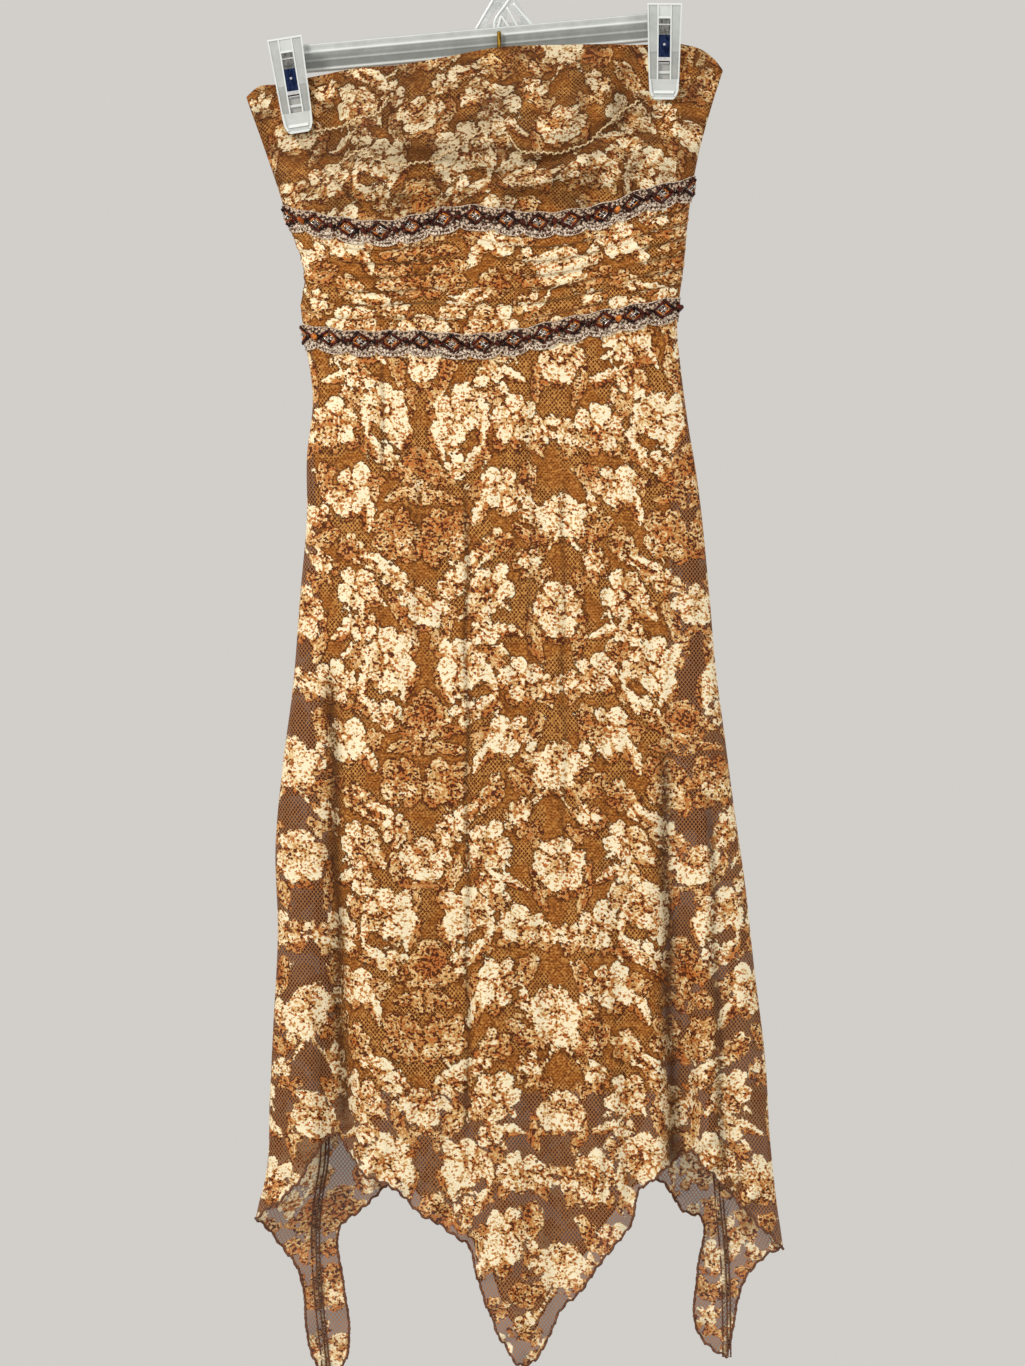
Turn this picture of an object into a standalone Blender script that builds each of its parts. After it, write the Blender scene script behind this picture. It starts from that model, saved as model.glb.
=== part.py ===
"""Strapless lace dress, held by its top edge in the two clips of a clear hanger that hangs on a brass wall hook.

Metres, +Z up. The origin lies on the wall, in the middle of the hook's plate. The wall is the plane Y = 0, the dress
hangs in front of it at negative Y, and X runs to the right as seen from the front.

The dress is one closed tube of cloth. A point of it is given by an angle round the tube and a height: the angle is 0
at the left edge, pi / 2 in the middle of the front, pi at the right edge, and 1.5 pi in the middle of the back.
"""

import math
from collections import namedtuple

import bmesh
import bpy
import numpy as np
from mathutils import Vector, geometry

WALL = 0.0013
SEAM_GAP = 0.0003
SEAM_SHY = 0.00018
MIDPLANE_Y = -0.027
EDGE_ROUNDNESS = 2.4
GRIP_EDGE_TAPER = 4.0

# Angles of the columns of points nearest to an edge of the dress.
NEAR_EDGE = 0.0002
NEXT_TO_EDGE = 0.2

Edge = namedtuple("Edge", "z x")
LEFT_EDGE = (
    Edge(0.030, -0.232),
    Edge(-0.036, -0.217),
    Edge(-0.070, -0.205),
    Edge(-0.117, -0.189),
    Edge(-0.153, -0.178),
    Edge(-0.174, -0.170),
    Edge(-0.196, -0.167),
    Edge(-0.214, -0.170),
    Edge(-0.240, -0.167),
    Edge(-0.297, -0.160),
    Edge(-0.345, -0.165),
    Edge(-0.393, -0.165),
    Edge(-0.466, -0.171),
    Edge(-0.542, -0.177),
    Edge(-0.611, -0.186),
    Edge(-0.681, -0.192),
    Edge(-0.751, -0.190),
    Edge(-0.835, -0.194),
    Edge(-0.896, -0.197),
    Edge(-0.960, -0.200),
    Edge(-0.998, -0.209),
    Edge(-1.150, -0.214),
)
RIGHT_EDGE = (
    Edge(0.030, 0.206),
    Edge(-0.014, 0.192),
    Edge(-0.039, 0.184),
    Edge(-0.087, 0.171),
    Edge(-0.135, 0.163),
    Edge(-0.177, 0.159),
    Edge(-0.236, 0.153),
    Edge(-0.268, 0.156),
    Edge(-0.314, 0.162),
    Edge(-0.363, 0.170),
    Edge(-0.467, 0.181),
    Edge(-0.525, 0.186),
    Edge(-0.586, 0.194),
    Edge(-0.647, 0.202),
    Edge(-0.709, 0.211),
    Edge(-0.782, 0.219),
    Edge(-0.866, 0.229),
    Edge(-0.934, 0.233),
    Edge(-0.989, 0.239),
    Edge(-1.024, 0.244),
    Edge(-1.150, 0.250),
)

Depth = namedtuple("Depth", "z front back")
DEPTHS = (
    Depth(0.030, 0.010, 0.0040),
    Depth(0.008, 0.012, 0.0040),
    Depth(-0.050, 0.024, 0.0120),
    Depth(-0.140, 0.022, 0.0150),
    Depth(-0.240, 0.018, 0.0160),
    Depth(-0.420, 0.024, 0.0165),
    Depth(-0.700, 0.030, 0.0170),
    Depth(-1.150, 0.034, 0.0170),
)

Cross = namedtuple("Cross", "x z")
TOP_FRONT = (
    Cross(-0.217, -0.036),
    Cross(-0.208, -0.028),
    Cross(-0.191, -0.025),
    Cross(-0.162, -0.019),
    Cross(-0.128, -0.013),
    Cross(-0.083, -0.009),
    Cross(-0.048, -0.003),
    Cross(0.001, 0.006),
    Cross(0.052, 0.008),
    Cross(0.124, 0.009),
    Cross(0.159, 0.009),
    Cross(0.175, 0.004),
    Cross(0.186, -0.005),
    Cross(0.193, -0.014),
)
UNDER_BUST_FRONT = (
    Cross(-0.183, -0.138),
    Cross(-0.154, -0.145),
    Cross(-0.126, -0.150),
    Cross(-0.097, -0.152),
    Cross(-0.069, -0.147),
    Cross(-0.046, -0.141),
    Cross(-0.021, -0.139),
    Cross(0.009, -0.143),
    Cross(0.038, -0.145),
    Cross(0.066, -0.142),
    Cross(0.099, -0.134),
    Cross(0.121, -0.125),
    Cross(0.149, -0.118),
    Cross(0.166, -0.113),
)
WAIST_FRONT = (
    Cross(-0.167, -0.240),
    Cross(-0.123, -0.246),
    Cross(-0.074, -0.246),
    Cross(-0.021, -0.249),
    Cross(0.009, -0.246),
    Cross(0.063, -0.234),
    Cross(0.118, -0.223),
    Cross(0.155, -0.216),
)
TOP_BACK_ARCH = 0.024
UNDER_BUST_BACK_SAG = 0.006
WAIST_BACK_SAG = 0.008

CLIP_LENGTH = 0.082
CLIP_TOP_HALF_WIDTH = 0.0150
CLIP_LOW_HALF_WIDTH = 0.0100
Clip = namedtuple("Clip", "name x_top z_top x_low z_low")
CLIPS = (
    Clip("left", -0.184, 0.014, -0.171, -0.067),
    Clip("right", 0.142, 0.044, 0.1414, -0.039),
)
GRIP_HALF_WIDTH = 0.028
GRIP_FADE = 0.016
GRIP_LETS_GO = 0.050
GRIP_BELOW_CLIP = 0.055
GRIPPED_HALF_DEPTH = 0.0021

Swag = namedtuple("Swag", "x_start z_start x_end z_end sag half_width rise")
BODICE_SWAGS = (
    Swag(-0.186, -0.052, 0.150, -0.026, 0.040, 0.010, 0.0050),
    Swag(-0.180, -0.068, 0.135, -0.038, 0.056, 0.007, -0.0040),
    Swag(-0.176, -0.080, 0.128, -0.050, 0.058, 0.009, 0.0045),
    Swag(-0.016, -0.092, 0.140, -0.052, 0.030, 0.007, 0.0040),
    Swag(-0.176, -0.068, -0.116, -0.128, 0.000, 0.008, 0.0045),
    Swag(-0.170, -0.058, -0.090, -0.124, 0.004, 0.007, -0.0035),
    Swag(0.090, -0.116, 0.150, -0.050, 0.004, 0.008, 0.0040),
    Swag(-0.110, -0.030, 0.080, -0.018, 0.014, 0.008, 0.0030),
)
Cup = namedtuple("Cup", "x z half_width half_height rise")
BUST_CUPS = (
    Cup(-0.097, -0.095, 0.060, 0.045, 0.007),
    Cup(0.062, -0.085, 0.060, 0.045, 0.007),
)
GATHER_COUNT = 8
GATHER_RISE = 0.0017
GATHER_ROWS = 24
Wave = namedtuple("Wave", "rise rate start")
GATHER_WANDER = (Wave(0.9, 2.3, 0.0), Wave(0.7, 5.1, 1.3))
FRONT_COLUMNS = 16
BACK_COLUMNS = 12
BODICE_FRONT_ROWS = 15
BODICE_BACK_ROWS = 7

Fold = namedtuple("Fold", "x_top x_low z_top z_low half_width rise")
SKIRT_FRONT_FOLDS = (
    Fold(-0.150, -0.139, -0.450, -0.930, 0.013, -0.0200),
    Fold(-0.128, -0.112, -0.450, -0.930, 0.014, 0.0070),
    Fold(-0.172, -0.170, -0.480, -0.930, 0.014, 0.0060),
    Fold(0.148, 0.158, -0.480, -0.950, 0.014, -0.0210),
    Fold(0.124, 0.136, -0.500, -0.950, 0.013, 0.0060),
    Fold(0.170, 0.181, -0.520, -0.960, 0.012, 0.0090),
    Fold(0.182, 0.201, -0.560, -0.980, 0.010, -0.0060),
    Fold(-0.100, -0.092, -0.260, -0.960, 0.016, 0.0050),
    Fold(-0.058, -0.028, -0.300, -1.000, 0.016, -0.0060),
    Fold(-0.034, 0.004, -0.320, -1.020, 0.018, 0.0060),
    Fold(0.026, 0.052, -0.300, -1.020, 0.018, -0.0050),
    Fold(0.064, 0.092, -0.340, -0.980, 0.018, 0.0055),
    Fold(0.100, 0.118, -0.380, -0.960, 0.014, -0.0045),
)
SKIRT_BACK_FOLDS = (
    Fold(-0.120, -0.150, -0.300, -0.960, 0.018, 0.0040),
    Fold(-0.085, -0.105, -0.320, -0.980, 0.016, -0.0070),
    Fold(-0.040, -0.050, -0.280, -1.000, 0.020, 0.0040),
    Fold(0.000, 0.010, -0.360, -1.000, 0.016, -0.0070),
    Fold(0.040, 0.060, -0.300, -0.980, 0.018, 0.0040),
    Fold(0.085, 0.110, -0.320, -0.960, 0.016, -0.0070),
    Fold(0.120, 0.160, -0.340, -0.960, 0.016, 0.0040),
)

SIDE_SEAM_INSET_WAIST = 0.003
SIDE_SEAM_INSET_HEM = 0.048
SIDE_SEAM_Z_WAIST = -0.250
SIDE_SEAM_Z_HEM = -0.970

# The skirt's rows of points, as heights, and as runs of them. They lie close together under the trim and at the hem.
UNDER_TRIM_Z = (-0.234, -0.250, -0.268)
Run = namedtuple("Run", "first last count")
SKIRT_ROWS = (Run(-0.300, -0.480, 5), Run(-0.525, -0.840, 8), Run(-0.875, -1.120, 10))
SEAM_ROWS = 15
SEAM_TIP_ROWS = 4
SKIRT_FRONT_COLUMNS = 24
SKIRT_BACK_COLUMNS = 18
FAR_COLUMNS = (0.2, 0.4, 0.6)
ANGLE_AS_LENGTH = 0.2
RIM_CLEARANCE = 0.009

HEM_FRONT = (
    Cross(-0.209, -0.998),
    Cross(-0.190, -0.984),
    Cross(-0.171, -0.965),
    Cross(-0.157, -0.941),
    Cross(-0.140, -0.925),
    Cross(-0.130, -0.938),
    Cross(-0.112, -0.961),
    Cross(-0.091, -0.969),
    Cross(-0.074, -0.986),
    Cross(-0.050, -1.003),
    Cross(-0.028, -1.018),
    Cross(-0.017, -1.052),
    Cross(-0.007, -1.079),
    Cross(0.004, -1.103),
    Cross(0.022, -1.123),
    Cross(0.039, -1.105),
    Cross(0.051, -1.078),
    Cross(0.073, -1.054),
    Cross(0.090, -1.029),
    Cross(0.112, -1.003),
    Cross(0.122, -0.970),
    Cross(0.134, -0.961),
    Cross(0.148, -0.950),
    Cross(0.163, -0.939),
    Cross(0.175, -0.952),
    Cross(0.195, -0.972),
    Cross(0.213, -0.993),
    Cross(0.244, -1.024),
)
HEM_FAR_RIGHT = (
    Cross(0.244, -1.024),
    Cross(0.227, -1.033),
    Cross(0.212, -1.051),
    Cross(0.205, -1.071),
    Cross(0.202, -1.090),
    Cross(0.196, -1.119),
)
HEM_BACK = (
    Cross(0.196, -1.119),
    Cross(0.184, -1.113),
    Cross(0.171, -1.096),
    Cross(0.171, -1.045),
    Cross(0.173, -0.999),
    Cross(0.157, -0.992),
    Cross(0.145, -0.973),
    Cross(0.129, -0.964),
    Cross(0.105, -0.985),
    Cross(0.075, -1.028),
    Cross(0.045, -1.068),
    Cross(0.022, -1.103),
    Cross(0.004, -1.072),
    Cross(-0.010, -1.034),
    Cross(-0.050, -0.996),
    Cross(-0.091, -0.967),
    Cross(-0.114, -0.988),
    Cross(-0.136, -1.006),
    Cross(-0.134, -1.057),
    Cross(-0.129, -1.097),
    Cross(-0.133, -1.124),
    Cross(-0.148, -1.141),
)
HEM_FAR_LEFT = (
    Cross(-0.148, -1.141),
    Cross(-0.160, -1.120),
    Cross(-0.166, -1.092),
    Cross(-0.168, -1.062),
    Cross(-0.174, -1.042),
    Cross(-0.190, -1.019),
    Cross(-0.209, -0.998),
)

SLIP_HEM_Z = -0.889
SLIP_INSET = 0.0050
SLIP_EDGE_CLEARANCE = 0.0030
SLIP_LEFT_HEM_X = -0.138
SLIP_RIGHT_HEM_X = 0.138
SLIP_FRONT_DEPTH = 0.014
SLIP_BACK_DEPTH = 0.008
SLIP_SETTLE = 0.120
SLIP_COLUMNS = 10
SLIP_SEAM_COLUMN = 1
SLIP_SEAM_SHY_ANGLE = 0.003
SLIP_ROWS = 9
SLIP_ROW_SPREAD = 0.8

TRIM_ABOVE = 0.008
TRIM_BELOW = 0.012
TRIM_SCALLOP = 0.003
TRIM_MOTIFS = 13
TRIM_COLUMNS_PER_MOTIF = 4
TRIM_FLAT_CLOTH = 0.013
TRIM_CLOTH_FREE = 0.031
TRIM_GAP = 0.0004
TRIM_THICKNESS = 0.0010
TRIM_BEAD_RISE = 0.0022

BAR_TILT = math.radians(5.2)
BAR_TOP_Z = 0.0229
BAR_HEIGHT = 0.0207
BAR_FRONT_Y = -0.0175
BAR_BACK_Y = -0.0060
BAR_END_DROP = 0.0045
BAR_X_LEFT = -0.186
BAR_X_RIGHT = 0.150
BAR_GROOVE_DEPTH = 0.005
BAR_RIBS = ((0.0, 0.19), (0.19, 0.42), (0.42, 0.58), (0.58, 0.81), (0.81, 1.0))
BAR_SECTIONS = 7

# The braced foot of the hanger's hook, as (x, z). Its lower corners lie on the bar.
FOOT_LEFT_X = -0.022
FOOT_RIGHT_X = 0.029
FOOT_NECK = ((0.0125, 0.052), (-0.0035, 0.052))
FOOT_FRONT_Y = -0.0150
FOOT_BACK_Y = -0.0085
FOOT_WINDOWS = (
    ((-0.013, 0.0270), (-0.001, 0.0290), (0.0005, 0.0450)),
    ((0.006, 0.0290), (0.020, 0.0300), (0.0080, 0.0450)),
)

RAIL_HOOK_X = 0.0045
RAIL_HOOK_Y = -0.0118
RAIL_HOOK_NECK_Z = 0.062
RAIL_HOOK_CENTRE_Z = 0.088
RAIL_HOOK_RADIUS = 0.0200
RAIL_HOOK_THICKNESS = 0.0030
RAIL_HOOK_NECK_RADII = (0.0040, 0.0034)
RAIL_HOOK_TIP_RADIUS = 0.0022
RAIL_HOOK_STEPS = 13
RAIL_HOOK_STEP = math.radians(20)

# A jaw's sections from its gripping end up: the place along the clip, the two faces as distances out from the plane
# where the jaw meets the cloth, and the share of the clip's width. None stands for the face against the bar.
JAW_GAP = 0.00035
Section = namedtuple("Section", "along inner outer width")
LOW, HIGH = -CLIP_LENGTH / 2, CLIP_LENGTH / 2
FRONT_JAW = (
    Section(LOW, 0.0010, 0.0030, 0.55),
    Section(LOW + 0.003, 0.0004, 0.0028, 0.95),
    Section(LOW + 0.010, 0.0, 0.0026, 1.0),
    Section(LOW + 0.026, 0.0010, 0.0042, 1.0),
    Section(HIGH - 0.010, 0.0086, 0.0112, 1.0),
    Section(HIGH, 0.0096, 0.0118, 1.0),
)
BACK_JAW = (
    Section(LOW, 0.0010, 0.0030, 0.55),
    Section(LOW + 0.003, 0.0004, 0.0030, 0.95),
    Section(LOW + 0.010, 0.0, 0.0032, 1.0),
    Section(LOW + 0.026, 0.0, 0.0036, 1.0),
    Section(LOW + 0.046, 0.0, None, 1.0),
    Section(HIGH - 0.004, 0.0, None, 1.0),
    Section(HIGH, 0.0010, None, 0.9),
)
CLIP_WIDENS_TO_TOP_BY = 0.8
SPRING_HALF_WIDTH = 0.0054
SPRING_TOP = 0.018
SPRING_LOW = -0.016
SPRING_DEPTH = (0.0004, 0.0022)
WINDOW_DEPTH = (-0.006, 0.010)

HOOK_WIRE_RADIUS = 0.00175
HOOK_PLATE_RADIUS = 0.0060
HOOK_PLATE_THICKNESS = 0.0012
HOOK_ARM_Y = -0.0203
HOOK_ARM_TOP_Z = 0.0214
HOOK_BEND = 0.0024
HOOK_BEND_STEPS = 4
HOOK_STEM_STEP = 0.0004
HOOK_TIP = 0.001
HOOK_TIP_SHARE = 0.6

LACE_COLOUR = (0.42, 0.24, 0.10)
SLIP_COLOUR = (0.26, 0.12, 0.04)
TRIM_COLOUR = (0.45, 0.38, 0.34)
PLASTIC_COLOUR = (0.75, 0.77, 0.77)
BRASS_COLOUR = (0.45, 0.28, 0.06)
SPRING_COLOUR = (0.05, 0.08, 0.14)


def clear_scene():
    for thing in list(bpy.data.objects):
        bpy.data.objects.remove(thing, do_unlink=True)


def material(name, colour, roughness, metallic=0.0):
    made = bpy.data.materials.new(name)
    made.use_nodes = True
    shader = made.node_tree.nodes["Principled BSDF"]
    shader.inputs["Base Color"].default_value = (*colour, 1.0)
    shader.inputs["Roughness"].default_value = roughness
    shader.inputs["Metallic"].default_value = metallic
    made.diffuse_color = (*colour, 1.0)
    return made


def curve_through(rows, at):
    """The value at a place on the smooth curve through rows of (place, value), level past both ends."""
    table = np.array(rows, float)
    places, values = table[np.argsort(table[:, 0])].T
    slopes = np.gradient(values, places)
    at = np.clip(at, places[0], places[-1])
    i = np.clip(np.searchsorted(places, at) - 1, 0, len(places) - 2)
    span = places[i + 1] - places[i]
    t = (at - places[i]) / span
    rise = values[i + 1] - values[i]
    a = slopes[i] * span - rise
    b = rise - slopes[i + 1] * span
    return values[i] + t * rise + t * (1 - t) * (a * (1 - t) + b * t)


def soft_step(t):
    t = np.clip(t, 0.0, 1.0)
    return t * t * (3 - 2 * t)


def dress_edges(z):
    """The middle and half the width of the dress at a height."""
    left = curve_through(LEFT_EDGE, z)
    right = curve_through(RIGHT_EDGE, z)
    return (left + right) / 2, (right - left) / 2


def roundness(angle):
    """1 in the middle of the front or back and 0 at the edges, on a rounded section."""
    across = np.abs(np.cos(angle)) ** EDGE_ROUNDNESS
    return np.clip(1 - across, 0, 1) ** (1 / EDGE_ROUNDNESS)


def gripped(x, z):
    """1 where a clip holds the layers together and 0 away from the clips."""
    held = np.zeros_like(x)
    for clip_row in CLIPS:
        lean = (clip_row.x_top - clip_row.x_low) / (clip_row.z_top - clip_row.z_low)
        centre = clip_row.x_low + lean * np.maximum(z - clip_row.z_low, 0)
        beyond = np.clip(np.abs(x - centre) - GRIP_HALF_WIDTH, 0, None)
        sideways = np.exp(-((beyond / GRIP_FADE) ** 2))
        down = soft_step((z - clip_row.z_low + GRIP_BELOW_CLIP) / GRIP_LETS_GO)
        held = np.maximum(held, sideways * down)
    return held


def tube(angle, z):
    """Points of the plain tube, with no folds, and how far out of the midplane folds may act there."""
    middle, half = dress_edges(z)
    x = middle - half * np.cos(angle)
    round_part = roundness(angle)
    in_front = np.sin(angle) >= 0
    depths = np.array(DEPTHS)
    front = curve_through(depths[:, :2], z)
    back = curve_through(depths[:, [0, 2]], z)
    held = gripped(x, z)
    depth = np.where(in_front, front, back) * round_part
    pressed = GRIPPED_HALF_DEPTH * np.minimum(1, round_part * GRIP_EDGE_TAPER)
    depth = depth * (1 - held) + pressed * held
    depth = np.maximum(depth, SEAM_SHY)
    side = np.where(in_front, -1.0, 1.0)
    points = np.stack([x, MIDPLANE_Y + side * depth, z], axis=-1)
    return points, side * round_part * (1 - held)


def fold_rise(folds, x, z):
    total = np.zeros_like(x)
    for fold in folds:
        t = np.clip((fold.z_top - z) / (fold.z_top - fold.z_low), 0, 1)
        centre = fold.x_top + (fold.x_low - fold.x_top) * t
        total += fold.rise * soft_step(t) * np.exp(-(((x - centre) / fold.half_width) ** 2))
    return total


def swag_rise(x, z):
    total = np.zeros_like(x)
    for swag in BODICE_SWAGS:
        t = np.clip((x - swag.x_start) / (swag.x_end - swag.x_start), 0, 1)
        centre = swag.z_start + (swag.z_end - swag.z_start) * t - 4 * swag.sag * t * (1 - t)
        across = np.exp(-(((z - centre) / swag.half_width) ** 2))
        total += swag.rise * np.sqrt(np.sin(math.pi * t).clip(0)) * across
    return total


def cup_rise(x, z):
    total = np.zeros_like(x)
    for cup in BUST_CUPS:
        away = ((x - cup.x) / cup.half_width) ** 2 + ((z - cup.z) / cup.half_height) ** 2
        total += cup.rise * np.exp(-away)
    return total


def seam_height(front_rows, back_sag, angle):
    """The height of a seam that goes round the dress: a drawn curve in front, and a plain sag behind."""
    first, last = front_rows[0], front_rows[-1]
    height = np.full_like(angle, (first.z + last.z) / 2)
    for _ in range(6):
        middle, half = dress_edges(height)
        x = middle - half * np.cos(angle)
        t = np.clip((x - first.x) / (last.x - first.x), 0, 1)
        behind = first.z + (last.z - first.z) * t - back_sag * np.sin(angle) ** 2
        height = np.where(np.sin(angle) > 0, curve_through(front_rows, x), behind)
    return height


def top_edge(angle):
    return seam_height(TOP_FRONT, -TOP_BACK_ARCH, angle)


def under_bust(angle):
    return seam_height(UNDER_BUST_FRONT, UNDER_BUST_BACK_SAG, angle)


def waist(angle):
    return seam_height(WAIST_FRONT, WAIST_BACK_SAG, angle)


def clear_of_trim(distance):
    """0 under a trim, so that the cloth is smooth there, and 1 well away from it."""
    return soft_step((distance - TRIM_FLAT_CLOTH) / (TRIM_CLOTH_FREE - TRIM_FLAT_CLOTH))


def bodice_surface(angle, z):
    points, reach = tube(angle, z)
    x = points[..., 0]
    rise = cup_rise(x, z) + swag_rise(x, z) * soft_step((top_edge(angle) - z) / 0.020)
    rise = rise * clear_of_trim(z - under_bust(angle))
    points[..., 1] += np.where(reach < 0, reach * rise, 0)
    return points


def midriff_surface(angle, z):
    points, reach = tube(angle, z)
    upper, lower = under_bust(angle), waist(angle)
    down = (upper - z) / (upper - lower)
    wander = sum(wave.rise * np.sin(wave.rate * angle + wave.start) for wave in GATHER_WANDER)
    gather = np.sin(2 * math.pi * GATHER_COUNT * down + wander)
    rise = GATHER_RISE * gather * (0.75 + 0.25 * np.sin(7 * angle + 3 * down))
    rise = rise * clear_of_trim(upper - z) * clear_of_trim(z - lower)
    points[..., 1] += reach * rise
    return points


def skirt_surface(angle, z):
    points, reach = tube(angle, z)
    x = points[..., 0]
    front = fold_rise(SKIRT_FRONT_FOLDS, x, z)
    back = fold_rise(SKIRT_BACK_FOLDS, x, z)
    points[..., 1] += reach * np.where(reach < 0, front, back)
    return points


def slip_surface(angle, z):
    """The straight slip inside the skirt: against the skirt at the waist, and free of it further down."""
    top = waist(angle)
    skirt = tube(angle, z)[0]
    depth_in = WALL + SEAM_GAP + 0.0001 + SLIP_EDGE_CLEARANCE * (1 - roundness(angle)) ** 2
    skirt -= depth_in[..., None] * outward(lambda a, h: tube(a, h)[0], angle, z)
    down = (top - z) / (top - SLIP_HEM_Z)
    middle, half = dress_edges(z)
    left = (1 - down) * (WAIST_FRONT[0].x + SLIP_INSET) + down * SLIP_LEFT_HEM_X
    left = np.maximum(left, middle - half + SLIP_INSET)
    right = (1 - down) * (WAIST_FRONT[-1].x - SLIP_INSET) + down * SLIP_RIGHT_HEM_X
    right = np.minimum(right, middle + half - SLIP_INSET)
    x = (left + right) / 2 - (right - left) / 2 * np.cos(angle)
    in_front = np.sin(angle) >= 0
    depth = np.where(in_front, SLIP_FRONT_DEPTH, SLIP_BACK_DEPTH) * roundness(angle)
    depth = np.where(in_front, -1, 1) * np.maximum(depth, SEAM_SHY)
    free = np.stack([x, MIDPLANE_Y + depth, z], axis=-1)
    settled = soft_step((top - z) / SLIP_SETTLE)[..., None]
    return skirt * (1 - settled) + free * settled


def outward(surface, angle, z):
    """Unit normals of a surface, pointing out of the dress."""
    turn, lift = 1e-3, 2e-4
    along = surface(angle + turn, z) - surface(angle - turn, z)
    up = surface(angle, z + lift) - surface(angle, z - lift)
    normal = np.cross(along, up)
    return normal / np.linalg.norm(normal, axis=-1, keepdims=True)


def make_object(name, points, faces, look):
    mesh = bpy.data.meshes.new(name)
    mesh.from_pydata([tuple(map(float, p)) for p in points], [], [tuple(map(int, f)) for f in faces])
    mesh.validate()
    mesh.shade_smooth()
    mesh.set_sharp_from_angle(angle=math.radians(40))
    mesh.materials.append(look)
    made = bpy.data.objects.new(name, mesh)
    bpy.context.scene.collection.objects.link(made)
    return made


def wall_from(name, outer, inner, triangles, look):
    """A closed wall between two faces that share their triangles."""
    count = len(outer)
    edges = {}
    for a, b, c in triangles:
        for pair in ((a, b), (b, c), (c, a)):
            edges[pair] = True
    rim = [pair for pair in edges if (pair[1], pair[0]) not in edges]
    faces = list(triangles)
    faces += [(c + count, b + count, a + count) for a, b, c in triangles]
    for a, b in rim:
        faces.append((b, a, a + count))
        faces.append((b, a + count, b + count))
    return make_object(name, np.concatenate([outer, inner]), faces, look)


def cloth_wall(name, domain, triangles, surface, look, thickness=WALL):
    angle, z = np.array(domain, float).T
    outer = surface(angle, z)
    inner = outer - thickness * outward(surface, angle, z)
    return wall_from(name, outer, inner, triangles, look)


def grid_triangles(columns, rows):
    """Triangles of a grid whose points go row by row, the first row lowest."""
    made = []
    for row in range(rows - 1):
        for column in range(columns - 1):
            a = row * columns + column
            b, c, d = a + 1, a + columns + 1, a + columns
            if (row + column) % 2:
                made += [(a, b, c), (a, c, d)]
            else:
                made += [(a, b, d), (b, c, d)]
    return made


def column_angles(start, count):
    """Angles from one edge to the other, even in width but for one more next to each edge."""
    even = [math.acos(1 - 2 * k / count) for k in range(1, count)]
    at_edge = [NEAR_EDGE, NEXT_TO_EDGE]
    return start + np.array(at_edge + even + [math.pi - angle for angle in reversed(at_edge)])


def band(name, start, count, rows, upper, lower, surface, look):
    """A panel from edge to edge of the dress, between two seams."""
    angles = column_angles(start, count)
    high = upper(angles)
    low = lower(angles)
    domain = []
    for row in range(rows + 1):
        t = row / rows
        domain += list(zip(angles, low * (1 - t) + high * t))
    cloth_wall(name, domain, grid_triangles(len(angles), rows + 1), surface, look)


def angle_at(cross, around):
    """The angle of a point given by its width and height: around is 0 in front, -1 left of it and 1 behind it."""
    middle, half = dress_edges(np.array(cross.z))
    in_front = math.acos(max(-1.0, min(1.0, float((middle - cross.x) / half))))
    return {0: in_front, -1: -in_front, 1: 2 * math.pi - in_front}[around]


def side_seam(z, left):
    """The angle of a side seam of the skirt, which lies behind the edge, further in towards the hem."""
    down = soft_step((SIDE_SEAM_Z_WAIST - z) / (SIDE_SEAM_Z_WAIST - SIDE_SEAM_Z_HEM))
    inset = SIDE_SEAM_INSET_WAIST + (SIDE_SEAM_INSET_HEM - SIDE_SEAM_INSET_WAIST) * down
    middle, half = dress_edges(z)
    angle = np.arccos(1 - inset / half)
    return 2 * math.pi - angle if left else math.pi + angle


def side_seam_run(tip, left, way):
    """The seam's points from the waist down, and then straight to the tip of the hem's side point. way is 1 for the
    panel that lies at larger angles and -1 for the other, each a little short of the seam."""
    top = float(side_seam(np.array(SIDE_SEAM_Z_WAIST), left))
    start = float(waist(np.array(top))) - SEAM_SHY
    heights = np.linspace(SKIRT_ROWS[0].first, SIDE_SEAM_Z_HEM, SEAM_ROWS)
    heights = np.array([start, *[z for z in UNDER_TRIM_Z if z < start - RIM_CLEARANCE], *heights])
    angles = side_seam(heights, left)
    half = dress_edges(heights)[1]
    angles += way * SEAM_SHY / (half * np.abs(np.sin(angles)))
    run = [(float(a), float(z)) for a, z in zip(angles, heights)]
    end = (angle_at(tip, 1) + way * SEAM_SHY / half[-1], tip.z)
    last = run[-1]
    for k in range(1, SEAM_TIP_ROWS + 1):
        t = k / SEAM_TIP_ROWS
        run.append((last[0] + (end[0] - last[0]) * t, last[1] + (end[1] - last[1]) * t))
    return run


def inside(outline, x, y):
    """True if a point lies inside a closed outline."""
    found = False
    for (ax, ay), (bx, by) in zip(outline, outline[1:] + outline[:1]):
        if (ay > y) != (by > y) and x < ax + (y - ay) / (by - ay) * (bx - ax):
            found = not found
    return found


def away_from(outline, x, y):
    """How far a point lies from an outline."""
    ends = np.array(outline + outline[:1])
    a, d = ends[:-1], np.diff(ends, axis=0)
    p = np.array([x, y])
    t = np.clip(((p - a) * d).sum(1) / (d * d).sum(1).clip(1e-12), 0, 1)
    return float(np.linalg.norm(a + d * t[:, None] - p, axis=1).min())


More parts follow.
